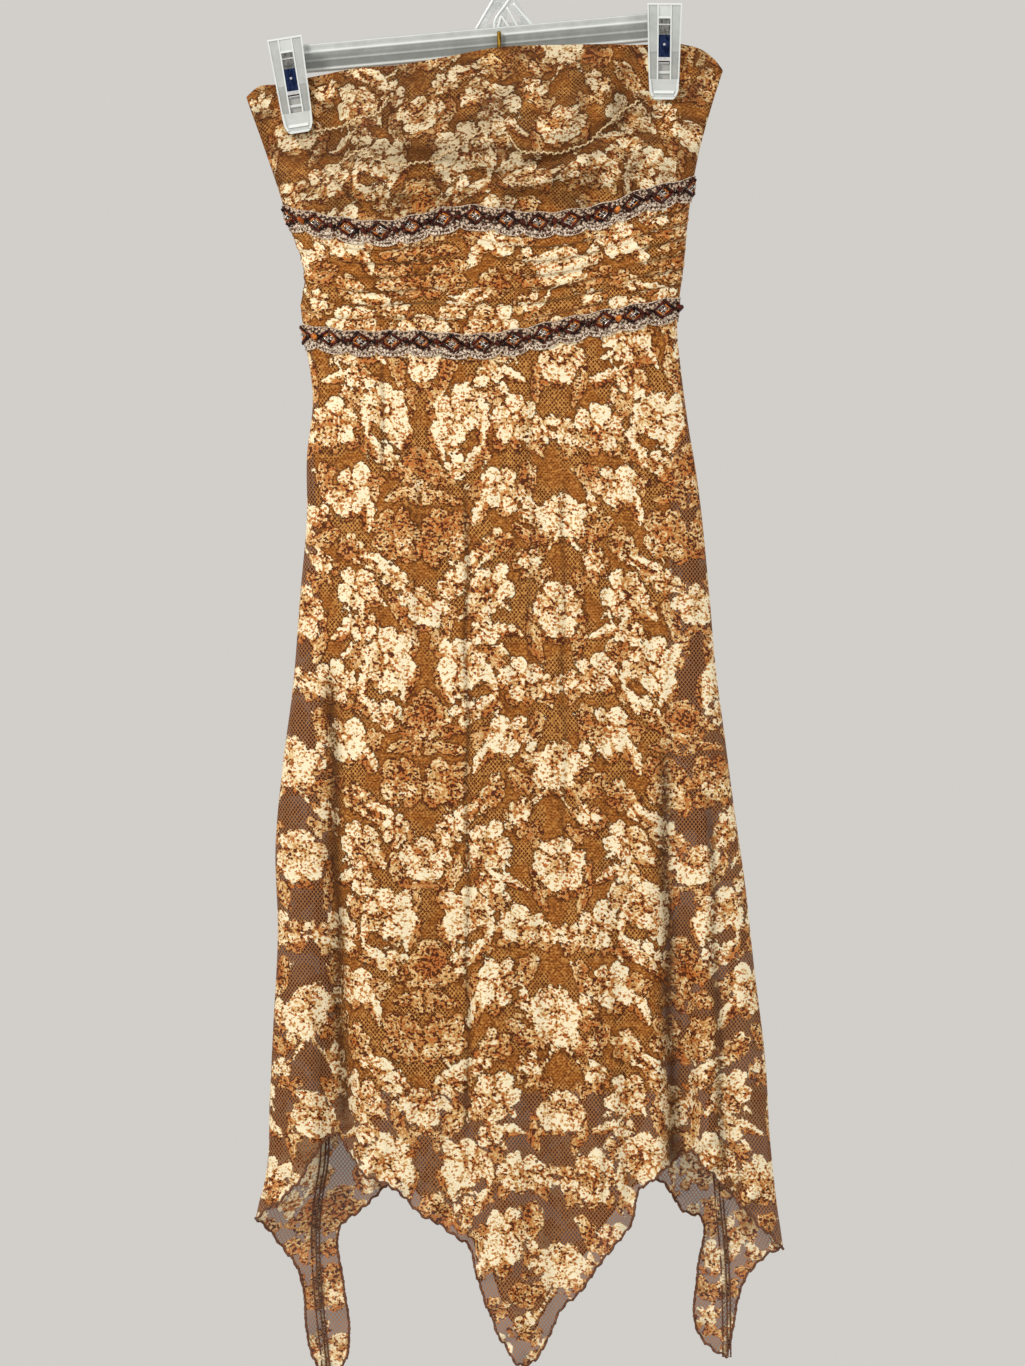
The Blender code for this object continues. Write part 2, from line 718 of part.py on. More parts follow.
def cut_panel(name, outline, angles, heights, surface, look):
    """A panel cut along an outline of (angle, height), with inner points where the angles and heights cross."""
    flat = [(angle * ANGLE_AS_LENGTH, z) for angle, z in outline]
    corners = [Vector(p) for p in flat]
    for z in heights:
        for angle in angles:
            x = angle * ANGLE_AS_LENGTH
            if inside(flat, x, z) and away_from(flat, x, z) > RIM_CLEARANCE:
                corners.append(Vector((x, z)))
    loop = [(k, (k + 1) % len(flat)) for k in range(len(flat))]
    points, _, faces, _, _, _ = geometry.delaunay_2d_cdt(corners, loop, [range(len(flat))], 1, 1e-6)
    triangles = []
    for a, b, c in faces:
        turn = (points[b] - points[a]).cross(points[c] - points[a])
        triangles.append((a, b, c) if turn > 0 else (a, c, b))
    domain = [(p.x / ANGLE_AS_LENGTH, p.y) for p in points]
    cloth_wall(name, domain, triangles, surface, look)


def skirt_heights():
    runs = [np.linspace(run.first, run.last, run.count) for run in SKIRT_ROWS]
    return [float(z) for z in np.concatenate([UNDER_TRIM_Z, *runs])]


def skirt_front(look):
    left_tip, right_tip = HEM_FAR_LEFT[0], HEM_FAR_RIGHT[-1]
    left_seam = side_seam_run(left_tip, True, 1)
    left_seam = [(angle - 2 * math.pi, z) for angle, z in left_seam]
    right_seam = side_seam_run(right_tip, False, -1)
    outline = left_seam
    outline += [(angle_at(c, -1), c.z) for c in HEM_FAR_LEFT[1:-1]]
    outline += [(angle_at(c, 0), c.z) for c in HEM_FRONT]
    outline += [(angle_at(c, 1), c.z) for c in HEM_FAR_RIGHT[1:-1]]
    outline += right_seam[::-1]
    across = column_angles(0.0, FRONT_COLUMNS)
    tops = across[::-1]
    outline += [(float(a), float(z) - SEAM_SHY) for a, z in zip(tops, waist(tops))]
    angles = [-angle for angle in FAR_COLUMNS]
    angles += [0.0, *column_angles(0.0, SKIRT_FRONT_COLUMNS)[1:-1], math.pi]
    angles += [math.pi + angle for angle in FAR_COLUMNS]
    cut_panel("skirt_front", outline, angles, skirt_heights(), skirt_surface, look)


def skirt_back(look):
    left_tip, right_tip = HEM_FAR_LEFT[0], HEM_FAR_RIGHT[-1]
    right_seam = side_seam_run(right_tip, False, 1)
    left_seam = side_seam_run(left_tip, True, -1)
    outline = right_seam
    outline += [(angle_at(c, 1), c.z) for c in HEM_BACK[1:-1]]
    outline += left_seam[::-1]
    tops = column_angles(math.pi, BACK_COLUMNS)[1:-1][::-1]
    outline += [(float(a), float(z) - SEAM_SHY) for a, z in zip(tops, waist(tops))]
    angles = column_angles(math.pi, SKIRT_BACK_COLUMNS)[1:-1]
    cut_panel("skirt_back", outline, angles, skirt_heights(), skirt_surface, look)


def slip_panel(name, angles, look):
    """A panel of the slip through these angles, from the waist seam down to its straight hem."""
    top = waist(angles) - SEAM_SHY
    domain = []
    for row in range(SLIP_ROWS + 1):
        t = (row / SLIP_ROWS) ** SLIP_ROW_SPREAD
        domain += list(zip(angles, SLIP_HEM_Z * (1 - t) + top * t))
    cloth_wall(name, domain, grid_triangles(len(angles), SLIP_ROWS + 1), slip_surface, look)


def slip(look):
    """The slip: one panel in front, and behind it a middle panel between two narrow ones that turn to the edges."""
    slip_panel("slip_front", column_angles(0.0, SLIP_COLUMNS), look)
    angles = column_angles(math.pi, SLIP_COLUMNS)
    # The first two columns lie at the edge itself, ahead of the even ones.
    seam = SLIP_SEAM_COLUMN + 1
    right = angles[: seam + 1].copy()
    middle = angles[seam : len(angles) - seam].copy()
    left = angles[len(angles) - seam - 1 :].copy()
    right[-1] -= SLIP_SEAM_SHY_ANGLE
    middle[0] += SLIP_SEAM_SHY_ANGLE
    middle[-1] -= SLIP_SEAM_SHY_ANGLE
    left[0] += SLIP_SEAM_SHY_ANGLE
    slip_panel("slip_back_right", right, look)
    slip_panel("slip_back", middle, look)
    slip_panel("slip_back_left", left, look)


def trim(name, start, seam, look):
    """A beaded braid over a seam: pyramids for its beads and a scalloped lower edge, over a plain inside."""
    last = TRIM_COLUMNS_PER_MOTIF * TRIM_MOTIFS
    steps = np.array([0, 0.05, 0.25, *range(1, last), last - 0.25, last - 0.05, last])
    columns = len(steps)
    angles = start + np.clip(np.arccos(1 - 2 * steps / last), NEAR_EDGE, math.pi - NEAR_EDGE)
    height = seam(angles)
    beaded = steps % 2 == 1
    scallop = TRIM_SCALLOP * np.sin(math.pi / TRIM_COLUMNS_PER_MOTIF * steps) ** 2
    top = height + TRIM_ABOVE
    low = height - TRIM_BELOW - scallop
    rows = (
        (low, 0.0),
        (height - TRIM_ABOVE, 0.1),
        (height, 1.0),
        (top, 0.0),
    )
    surface = lambda a, z: tube(a, z)[0]
    outer = []
    inner = []
    for z, bead in rows:
        normal = outward(surface, angles, z)
        place = surface(angles, z)
        lift = TRIM_GAP + TRIM_THICKNESS + bead * TRIM_BEAD_RISE * beaded
        outer.append(place + normal * lift[:, None])
        inner.append(place + normal * TRIM_GAP)
    triangles = grid_triangles(columns, len(rows))
    wall_from(name, np.concatenate(outer), np.concatenate(inner), triangles, look)


def ring_solid(name, rings, look):
    """A closed solid through rings that have the same number of points, with its two ends flat."""
    count = len(rings[0])
    points = [p for ring in rings for p in ring]
    faces = [tuple(reversed(range(count)))]
    for k in range(len(rings) - 1):
        for j in range(count):
            a = k * count + j
            b = k * count + (j + 1) % count
            faces.append((a, b, b + count, a + count))
    faces.append(tuple(range((len(rings) - 1) * count, len(rings) * count)))
    made = make_object(name, points, faces, look)
    work = bmesh.new()
    work.from_mesh(made.data)
    bmesh.ops.recalc_face_normals(work, faces=work.faces)
    work.to_mesh(made.data)
    work.free()
    return made


def pipe(name, path, radii, look, sides=12):
    """A round solid along a path in a plane of equal X, with a radius for each of its points."""
    side = Vector((1, 0, 0))
    rings = []
    for k, (centre, radius) in enumerate(zip(path, radii)):
        before, after = path[max(k - 1, 0)], path[min(k + 1, len(path) - 1)]
        ahead = (Vector(after) - Vector(before)).normalized()
        up = ahead.cross(side)
        turns = [2 * math.pi * j / sides for j in range(sides)]
        rings.append([Vector(centre) + radius * (math.cos(t) * side + math.sin(t) * up) for t in turns])
    return ring_solid(name, rings, look)


def wall_hook(look):
    """A plate on the wall, a stem out from it under the hanger's bar, and an upturned arm in front of the bar."""
    stem_y = -HOOK_PLATE_THICKNESS
    path = [(0, 0, 0), (0, stem_y, 0), (0, stem_y - HOOK_STEM_STEP, 0)]
    radii = [HOOK_PLATE_RADIUS, HOOK_PLATE_RADIUS, HOOK_WIRE_RADIUS]
    for k in range(HOOK_BEND_STEPS + 1):
        turn = math.pi / 2 * k / HOOK_BEND_STEPS
        path.append((0, HOOK_ARM_Y + HOOK_BEND * (1 - math.sin(turn)), HOOK_BEND * (1 - math.cos(turn))))
        radii.append(HOOK_WIRE_RADIUS)
    path.append((0, HOOK_ARM_Y, HOOK_ARM_TOP_Z - HOOK_TIP))
    path.append((0, HOOK_ARM_Y, HOOK_ARM_TOP_Z))
    radii += [HOOK_WIRE_RADIUS, HOOK_WIRE_RADIUS * HOOK_TIP_SHARE]
    pipe("wall_hook", path, radii, look)


def bar_top(x):
    return BAR_TOP_Z + x * math.tan(BAR_TILT)


def hanger_bar(look):
    """A ribbed bar, deeper towards its ends, tilted so that its left end is low."""
    rings = []
    for x in np.linspace(BAR_X_LEFT, BAR_X_RIGHT, BAR_SECTIONS):
        near_end = abs(x / (BAR_X_LEFT if x < 0 else BAR_X_RIGHT))
        depth = BAR_HEIGHT + BAR_END_DROP * near_end**2
        top = bar_top(x)
        ring = [(x, BAR_BACK_Y, top - depth), (x, BAR_BACK_Y, top)]
        for k, (upper, lower) in enumerate(BAR_RIBS):
            y = BAR_FRONT_Y + BAR_GROOVE_DEPTH * (k % 2)
            ring += [(x, y, top - depth * upper), (x, y, top - depth * lower)]
        rings.append(ring)
    ring_solid("hanger_bar", rings, look)


def plate(name, corners, front_y, back_y, look):
    front = [(x, front_y, z) for x, z in corners]
    back = [(x, back_y, z) for x, z in corners]
    return ring_solid(name, [front, back], look)


def cut_from(solid, cutter):
    cutter.hide_render = True
    cutter.display_type = "WIRE"
    cut = solid.modifiers.new("window", "BOOLEAN")
    cut.operation = "DIFFERENCE"
    cut.object = cutter


def hanger_foot(look):
    """The braced foot that carries the hanger's own hook on the bar."""
    ends = (FOOT_LEFT_X, FOOT_RIGHT_X)
    outline = [(x, bar_top(x) + SEAM_GAP) for x in ends] + list(FOOT_NECK)
    foot = plate("hanger_foot", outline, FOOT_FRONT_Y, FOOT_BACK_Y, look)
    for k, corners in enumerate(FOOT_WINDOWS):
        cut_from(foot, plate(f"foot_window_{k}", corners, 2 * FOOT_FRONT_Y, 0.0, look))


def hanger_hook(look):
    """A plain round hook that rises from the foot and opens to the left."""
    path = [(0, FOOT_NECK[0][1] + SEAM_GAP), (0, RAIL_HOOK_NECK_Z)]
    for k in range(RAIL_HOOK_STEPS):
        turn = RAIL_HOOK_STEP * k - math.pi / 2
        path.append((RAIL_HOOK_RADIUS * math.cos(turn), RAIL_HOOK_CENTRE_Z + RAIL_HOOK_RADIUS * math.sin(turn)))
    path = [Vector((RAIL_HOOK_X + x, RAIL_HOOK_Y, z)) for x, z in path]
    thick = [RAIL_HOOK_THICKNESS] * (RAIL_HOOK_STEPS - 1)
    radii = [*RAIL_HOOK_NECK_RADII, *thick, RAIL_HOOK_TIP_RADIUS]
    depth = Vector((0, 1, 0))
    rings = []
    for k, (centre, radius) in enumerate(zip(path, radii)):
        ahead = (path[min(k + 1, len(path) - 1)] - path[max(k - 1, 0)]).normalized()
        across = depth.cross(ahead if k else Vector((0, 0, 1)))
        turns = [math.pi / 4 * j for j in range(8)]
        rings.append([centre + radius * (math.cos(t) * across + math.sin(t) * depth) for t in turns])
    ring_solid("hanger_hook", rings, look)


def clip_frame(clip):
    """A function that places a point of the clip, given across its width, in depth and along its length."""
    along = Vector((clip.x_top - clip.x_low, 0, clip.z_top - clip.z_low)).normalized()
    across = Vector((along.z, 0, -along.x))
    centre = Vector(((clip.x_top + clip.x_low) / 2, 0, (clip.z_top + clip.z_low) / 2))
    return lambda u, y, w: centre + across * u + along * w + Vector((0, y, 0))


def clip_half_width(along):
    t = (along - LOW) / CLIP_LENGTH / CLIP_WIDENS_TO_TOP_BY
    return CLIP_LOW_HALF_WIDTH + (CLIP_TOP_HALF_WIDTH - CLIP_LOW_HALF_WIDTH) * min(1.0, t)


def jaw(name, place, sections, grip_y, out, bar_y, look):
    """A jaw through its sections. grip_y is where it meets the cloth, and out is -1 in front of it and 1 behind."""
    rings = []
    for section in sections:
        half = clip_half_width(section.along) * section.width
        near = grip_y + out * section.inner
        far = bar_y if section.outer is None else grip_y + out * section.outer
        corners = ((-half, near), (half, near), (half, far), (-half, far))
        rings.append([place(across, y, section.along) for across, y in corners])
    return ring_solid(name, rings, look)


def sloped_block(name, place, half, low, high, face, depths, look):
    """A block that follows the front jaw's sloping outer face, from one depth under it to another."""
    rings = []
    for along in (low, high):
        near, far = (face(along) + depth for depth in depths)
        corners = ((-half, near), (half, near), (half, far), (-half, far))
        rings.append([place(across, y, along) for across, y in corners])
    return ring_solid(name, rings, look)


def clip(clip_row, plastic, steel):
    place = clip_frame(clip_row)
    name = clip_row.name
    grip = GRIPPED_HALF_DEPTH + JAW_GAP
    front = jaw(f"clip_{name}_front", place, FRONT_JAW, MIDPLANE_Y - grip, -1, None, plastic)
    jaw(f"clip_{name}_back", place, BACK_JAW, MIDPLANE_Y + grip, 1, BAR_FRONT_Y - SEAM_GAP, plastic)
    start, end = FRONT_JAW[3], FRONT_JAW[4]
    slope = (end.outer - start.outer) / (end.along - start.along)
    face = lambda along: MIDPLANE_Y - grip - start.outer - slope * (along - start.along)
    half, low, high = SPRING_HALF_WIDTH, SPRING_LOW, SPRING_TOP
    cut_from(front, sloped_block(f"window_{name}", place, half, low, high, face, WINDOW_DEPTH, steel))
    half, low, high = half - SEAM_GAP, low + SEAM_GAP, high - SEAM_GAP
    sloped_block(f"spring_{name}", place, half, low, high, face, SPRING_DEPTH, steel)


def build():
    clear_scene()
    lace = material("lace", LACE_COLOUR, 0.75)
    slip_cloth = material("slip_cloth", SLIP_COLOUR, 0.60)
    braid = material("beaded_braid", TRIM_COLOUR, 0.45)
    plastic = material("clear_plastic", PLASTIC_COLOUR, 0.25)
    brass = material("brass", BRASS_COLOUR, 0.30, 1.0)
    steel = material("spring_steel", SPRING_COLOUR, 0.35, 1.0)

    above_seam = lambda seam: lambda angle: seam(angle) + SEAM_SHY
    below_seam = lambda seam: lambda angle: seam(angle) - SEAM_SHY
    back = math.pi
    bust = (top_edge, above_seam(under_bust), bodice_surface, lace)
    middle = (below_seam(under_bust), above_seam(waist), midriff_surface, lace)
    band("bodice_front", 0.0, FRONT_COLUMNS, BODICE_FRONT_ROWS, *bust)
    band("bodice_back", back, BACK_COLUMNS, BODICE_BACK_ROWS, *bust)
    band("midriff_front", 0.0, FRONT_COLUMNS, GATHER_ROWS, *middle)
    band("midriff_back", back, BACK_COLUMNS, GATHER_ROWS, *middle)
    skirt_front(lace)
    skirt_back(lace)
    slip(slip_cloth)
    for side, start in (("front", 0.0), ("back", back)):
        trim(f"trim_upper_{side}", start, under_bust, braid)
        trim(f"trim_lower_{side}", start, waist, braid)
    hanger_bar(plastic)
    hanger_foot(plastic)
    hanger_hook(plastic)
    for row in CLIPS:
        clip(row, plastic, steel)
    wall_hook(brass)


build()
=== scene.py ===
"""Looks of the strapless lace dress on its clip hanger: lace, beaded braids, slip, lining and hardware.

Metres, in the frame's axes: the wall is the plane Y = 0, the dress hangs at negative Y, +Z is up. A point of
the dress is given by an angle round it and a height: 0 is the left edge, pi / 2 the middle of the front, pi
the right edge and 1.5 pi the middle of the back. The pattern of the lace is in millimetres of cloth.
"""

import math
from collections import namedtuple

import bpy
import numpy as np
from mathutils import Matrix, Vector, geometry


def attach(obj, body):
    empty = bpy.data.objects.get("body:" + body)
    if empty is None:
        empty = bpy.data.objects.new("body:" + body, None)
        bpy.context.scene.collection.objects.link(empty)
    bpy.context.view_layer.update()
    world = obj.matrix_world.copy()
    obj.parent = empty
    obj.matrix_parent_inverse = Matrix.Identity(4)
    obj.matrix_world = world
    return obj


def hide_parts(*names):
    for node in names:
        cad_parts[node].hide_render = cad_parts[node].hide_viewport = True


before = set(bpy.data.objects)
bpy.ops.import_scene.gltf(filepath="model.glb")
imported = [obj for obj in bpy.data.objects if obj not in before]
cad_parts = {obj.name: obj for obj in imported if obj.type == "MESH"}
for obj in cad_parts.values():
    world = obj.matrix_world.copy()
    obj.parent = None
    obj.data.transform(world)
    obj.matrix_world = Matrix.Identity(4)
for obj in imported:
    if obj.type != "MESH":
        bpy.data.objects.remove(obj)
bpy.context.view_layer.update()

WALL = 0.0013
SEAM_GAP = 0.0003
MIDPLANE_Y = -0.027
EDGE_ROUNDNESS = 2.4
SEAM_SHY = 0.00018  # The least depth at a side edge, where front and back meet.


def named_rows(kind, table):
    return tuple(kind(*row) for row in table)


def named_rows_in_mm(kind, table):
    """Rows given in millimetres, as named tuples in metres."""
    return tuple(kind(*(number / 1000 for number in row)) for row in table)


Edge = namedtuple("Edge", "z x")
LEFT_EDGE = named_rows_in_mm(Edge, (
    (30, -232), (-36, -217), (-70, -205), (-117, -189), (-153, -178), (-174, -170), (-196, -167),
    (-214, -170), (-240, -167), (-297, -160), (-345, -165), (-393, -165), (-466, -171), (-542, -177),
    (-611, -186), (-681, -192), (-751, -190), (-835, -194), (-896, -197), (-960, -200), (-998, -209),
    (-1150, -214),
))
RIGHT_EDGE = named_rows_in_mm(Edge, (
    (30, 206), (-14, 192), (-39, 184), (-87, 171), (-135, 163), (-177, 159), (-236, 153), (-268, 156),
    (-314, 162), (-363, 170), (-467, 181), (-525, 186), (-586, 194), (-647, 202), (-709, 211), (-782, 219),
    (-866, 229), (-934, 233), (-989, 239), (-1024, 244), (-1150, 250),
))

Depth = namedtuple("Depth", "z front back")
DEPTHS = named_rows_in_mm(Depth, (
    (30, 10, 4), (8, 12, 4), (-50, 24, 12), (-140, 22, 15), (-240, 18, 16), (-420, 24, 16.5),
    (-700, 30, 17), (-1150, 34, 17),
))

Cross = namedtuple("Cross", "x z")
TOP_FRONT = named_rows_in_mm(Cross, (
    (-217, -36), (-208, -28), (-191, -25), (-162, -19), (-128, -13), (-83, -9), (-48, -3), (1, 6), (52, 8),
    (124, 9), (159, 9), (175, 4), (186, -5), (193, -14),
))
UNDER_BUST_FRONT = named_rows_in_mm(Cross, (
    (-183, -138), (-154, -145), (-126, -150), (-97, -152), (-69, -147), (-46, -141), (-21, -139), (9, -143),
    (38, -145), (66, -142), (99, -134), (121, -125), (149, -118), (166, -113),
))
WAIST_FRONT = named_rows_in_mm(Cross, (
    (-167, -240), (-123, -246), (-74, -246), (-21, -249), (9, -246), (63, -234), (118, -223), (155, -216),
))
TOP_BACK_ARCH = 0.024
UNDER_BUST_BACK_SAG = 0.006
WAIST_BACK_SAG = 0.008

CLIP_LENGTH = 0.082
Clip = namedtuple("Clip", "name x_top z_top x_low z_low")
CLIPS = (
    Clip("left", -0.184, 0.014, -0.171, -0.067),
    Clip("right", 0.142, 0.044, 0.1414, -0.039),
)
GRIP_HALF_WIDTH = 0.028
GRIP_FADE = 0.016
GRIP_LETS_GO = 0.050
GRIPPED_HALF_DEPTH = 0.0021

Swag = namedtuple("Swag", "x_start z_start x_end z_end sag half_width rise")
BODICE_SWAGS = named_rows_in_mm(Swag, (
    (-186, -52, 150, -26, 40, 10, 5), (-180, -68, 135, -38, 56, 7, -4), (-176, -80, 128, -50, 58, 9, 4.5),
    (-16, -92, 140, -52, 30, 7, 4), (-176, -68, -116, -128, 0, 8, 4.5), (-170, -58, -90, -124, 4, 7, -3.5),
    (90, -116, 150, -50, 4, 8, 4), (-110, -30, 80, -18, 14, 8, 3),
))
Cup = namedtuple("Cup", "x z half_width half_height rise")
BUST_CUPS = named_rows_in_mm(Cup, (
    (-97, -95, 60, 45, 7), (62, -85, 60, 45, 7),
))
GATHER_COUNT = 8
GATHER_RISE = 0.0017
LINING_DEPTH = 0.0018
DEEPEST = -0.0012  # The furthest that fine folds go inward, so that the lining stays behind them.

Fold = namedtuple("Fold", "x_top x_low z_top z_low half_width rise")
SKIRT_FRONT_FOLDS = named_rows_in_mm(Fold, (
    (-150, -139, -450, -930, 13, -20), (-128, -112, -450, -930, 14, 7), (-172, -170, -480, -930, 14, 6),
    (148, 158, -480, -950, 14, -21), (124, 136, -500, -950, 13, 6), (170, 181, -520, -960, 12, 9),
    (182, 201, -560, -980, 10, -6), (-100, -92, -260, -960, 16, 5), (-58, -28, -300, -1000, 16, -6),
    (-34, 4, -320, -1020, 18, 6), (26, 52, -300, -1020, 18, -5), (64, 92, -340, -980, 18, 5.5),
    (100, 118, -380, -960, 14, -4.5),
))
SKIRT_BACK_FOLDS = named_rows_in_mm(Fold, (
    (-120, -150, -300, -960, 18, 4), (-85, -105, -320, -980, 16, -7), (-40, -50, -280, -1000, 20, 4),
    (0, 10, -360, -1000, 16, -7), (40, 60, -300, -980, 18, 4), (85, 110, -320, -960, 16, -7),
    (120, 160, -340, -960, 16, 4),
))

SIDE_SEAM_INSET_WAIST = 0.003
SIDE_SEAM_INSET_HEM = 0.048
SIDE_SEAM_Z_WAIST = -0.250
SIDE_SEAM_Z_HEM = -0.970

HEM_FRONT = named_rows_in_mm(Cross, (
    (-209, -998), (-190, -984), (-171, -965), (-157, -941), (-140, -925), (-130, -938), (-112, -961),
    (-91, -969), (-74, -986), (-50, -1003), (-28, -1018), (-17, -1052), (-7, -1079), (4, -1103),
    (22, -1123), (39, -1105), (51, -1078), (73, -1054), (90, -1029), (112, -1003), (122, -970), (134, -961),
    (148, -950), (163, -939), (175, -952), (195, -972), (213, -993), (244, -1024),
))
HEM_FAR_RIGHT = named_rows_in_mm(Cross, (
    (244, -1024), (227, -1033), (212, -1051), (205, -1071), (202, -1090), (196, -1119),
))
HEM_BACK = named_rows_in_mm(Cross, (
    (196, -1119), (184, -1113), (171, -1096), (171, -1045), (173, -999), (157, -992), (145, -973),
    (129, -964), (105, -985), (75, -1028), (45, -1068), (22, -1103), (4, -1072), (-10, -1034), (-50, -996),
    (-91, -967), (-114, -988), (-136, -1006), (-134, -1057), (-129, -1097), (-133, -1124), (-148, -1141),
))
HEM_FAR_LEFT = named_rows_in_mm(Cross, (
    (-148, -1141), (-160, -1120), (-166, -1092), (-168, -1062), (-174, -1042), (-190, -1019), (-209, -998),
))

SLIP_HEM_Z = -0.889
SLIP_INSET = 0.0050
SLIP_EDGE_CLEARANCE = 0.0030
SLIP_LEFT_HEM_X = -0.138
SLIP_RIGHT_HEM_X = 0.138
SLIP_FRONT_DEPTH = 0.014
SLIP_BACK_DEPTH = 0.008
SLIP_SETTLE = 0.120

TRIM_GAP = 0.0004

BAR_TILT = math.radians(5.2)
BAR_TOP_Z = 0.0229
BAR_FRONT_Y = -0.0175
BAR_BACK_Y = -0.0060
BAR_X_LEFT = -0.186
BAR_X_RIGHT = 0.150


def curve_through(rows, at):
    """The value at a place on the smooth curve through rows of (place, value), level past both ends."""
    table = np.array(rows, float)
    places, values = table[np.argsort(table[:, 0])].T
    slopes = np.gradient(values, places)
    at = np.clip(at, places[0], places[-1])
    i = np.clip(np.searchsorted(places, at) - 1, 0, len(places) - 2)
    span = places[i + 1] - places[i]
    t = (at - places[i]) / span
    rise = values[i + 1] - values[i]
    a = slopes[i] * span - rise
    b = rise - slopes[i + 1] * span
    return values[i] + t * rise + t * (1 - t) * (a * (1 - t) + b * t)


def soft_step(t):
    t = np.clip(t, 0.0, 1.0)
    return t * t * (3 - 2 * t)


def dress_edges(z):
    """The middle and half the width of the dress at a height."""
    left = curve_through(LEFT_EDGE, z)
    right = curve_through(RIGHT_EDGE, z)
    return (left + right) / 2, (right - left) / 2


def roundness(angle):
    """1 in the middle of the front or back and 0 at the edges, on a rounded section."""
    across = np.abs(np.cos(angle)) ** EDGE_ROUNDNESS
    return np.clip(1 - across, 0, 1) ** (1 / EDGE_ROUNDNESS)


def gripped(x, z):
    """1 where a clip holds the layers together and 0 away from the clips."""
    held = np.zeros_like(x)
    for clip_row in CLIPS:
        lean = (clip_row.x_top - clip_row.x_low) / (clip_row.z_top - clip_row.z_low)
        centre = clip_row.x_low + lean * np.maximum(z - clip_row.z_low, 0)
        beyond = np.clip(np.abs(x - centre) - GRIP_HALF_WIDTH, 0, None)
        sideways = np.exp(-((beyond / GRIP_FADE) ** 2))
        down = soft_step((z - clip_row.z_low) / GRIP_LETS_GO + 1.1)
        held = np.maximum(held, sideways * down)
    return held


def tube(angle, z):
    """Points of the plain tube, with no folds, and how far out of the midplane folds may act there."""
    middle, half = dress_edges(z)
    x = middle - half * np.cos(angle)
    round_part = roundness(angle)
    in_front = np.sin(angle) >= 0
    depths = np.array(DEPTHS)
    front = curve_through(depths[:, :2], z)
    back = curve_through(depths[:, [0, 2]], z)
    held = gripped(x, z)
    depth = np.where(in_front, front, back) * round_part
    depth = depth * (1 - held) + GRIPPED_HALF_DEPTH * held * np.minimum(1, round_part * 4)
    depth = np.maximum(depth, SEAM_SHY)
    side = np.where(in_front, -1.0, 1.0)
    points = np.stack([x, MIDPLANE_Y + side * depth, z], axis=-1)
    return points, side * round_part * (1 - held)


def plain(angle, z):
    """Points of the plain tube."""
    return tube(angle, z)[0]


def fold_rise(folds, x, z):
    total = np.zeros_like(x)
    for fold in folds:
        t = np.clip((fold.z_top - z) / (fold.z_top - fold.z_low), 0, 1)
        centre = fold.x_top + (fold.x_low - fold.x_top) * t
        total += fold.rise * soft_step(t) * np.exp(-(((x - centre) / fold.half_width) ** 2))
    return total


def swag_rise(swags, x, z, power):
    """The rise of hanging drapes. A lower power makes their ridges sharper."""
    total = np.zeros_like(x)
    for swag in swags:
        t = np.clip((x - swag.x_start) / (swag.x_end - swag.x_start), 0, 1)
        centre = swag.z_start + (swag.z_end - swag.z_start) * t - 4 * swag.sag * t * (1 - t)
        across = np.exp(-np.abs((z - centre) / swag.half_width) ** power)
        total += swag.rise * np.sqrt(np.sin(math.pi * t).clip(0)) * across
    return total


def cup_rise(x, z):
    total = np.zeros_like(x)
    for cup in BUST_CUPS:
        away = ((x - cup.x) / cup.half_width) ** 2 + ((z - cup.z) / cup.half_height) ** 2
        total += cup.rise * np.exp(-away)
    return total


def seam_height(front_rows, back_sag, angle):
    """The height of a seam that goes round the dress: a drawn curve in front, and a plain sag behind."""
    first, last = front_rows[0], front_rows[-1]
    height = np.full_like(angle, (first.z + last.z) / 2)
    for _ in range(6):
        middle, half = dress_edges(height)
        x = middle - half * np.cos(angle)
        t = np.clip((x - first.x) / (last.x - first.x), 0, 1)
        behind = first.z + (last.z - first.z) * t - back_sag * np.sin(angle) ** 2
        height = np.where(np.sin(angle) > 0, curve_through(front_rows, x), behind)
    return height


def top_edge(angle):
    return seam_height(TOP_FRONT, -TOP_BACK_ARCH, angle)


def under_bust(angle):
    return seam_height(UNDER_BUST_FRONT, UNDER_BUST_BACK_SAG, angle)


def waist(angle):
    return seam_height(WAIST_FRONT, WAIST_BACK_SAG, angle)


def gather_wander(angle):
    """How far the gathers of the midriff wander up and down round the dress."""
    return 0.9 * np.sin(2.3 * angle) + 0.7 * np.sin(5.1 * angle + 1.3)


def clear_of_trim(distance):
    """0 under a trim, so that the cloth is smooth there, and 1 well away from it."""
    return soft_step((distance - 0.013) / 0.018)


def bodice_surface(angle, z):
    points, reach = tube(angle, z)
    x = points[..., 0]
    rise = cup_rise(x, z) + swag_rise(BODICE_SWAGS, x, z, 2) * soft_step((top_edge(angle) - z) / 0.020)
    rise = rise * clear_of_trim(z - under_bust(angle))
    points[..., 1] += np.where(reach < 0, reach * rise, 0)
    return points


def skirt_surface(angle, z):
    points, reach = tube(angle, z)
    x = points[..., 0]
    front = fold_rise(SKIRT_FRONT_FOLDS, x, z)
    back = fold_rise(SKIRT_BACK_FOLDS, x, z)
    points[..., 1] += reach * np.where(reach < 0, front, back)
    return points


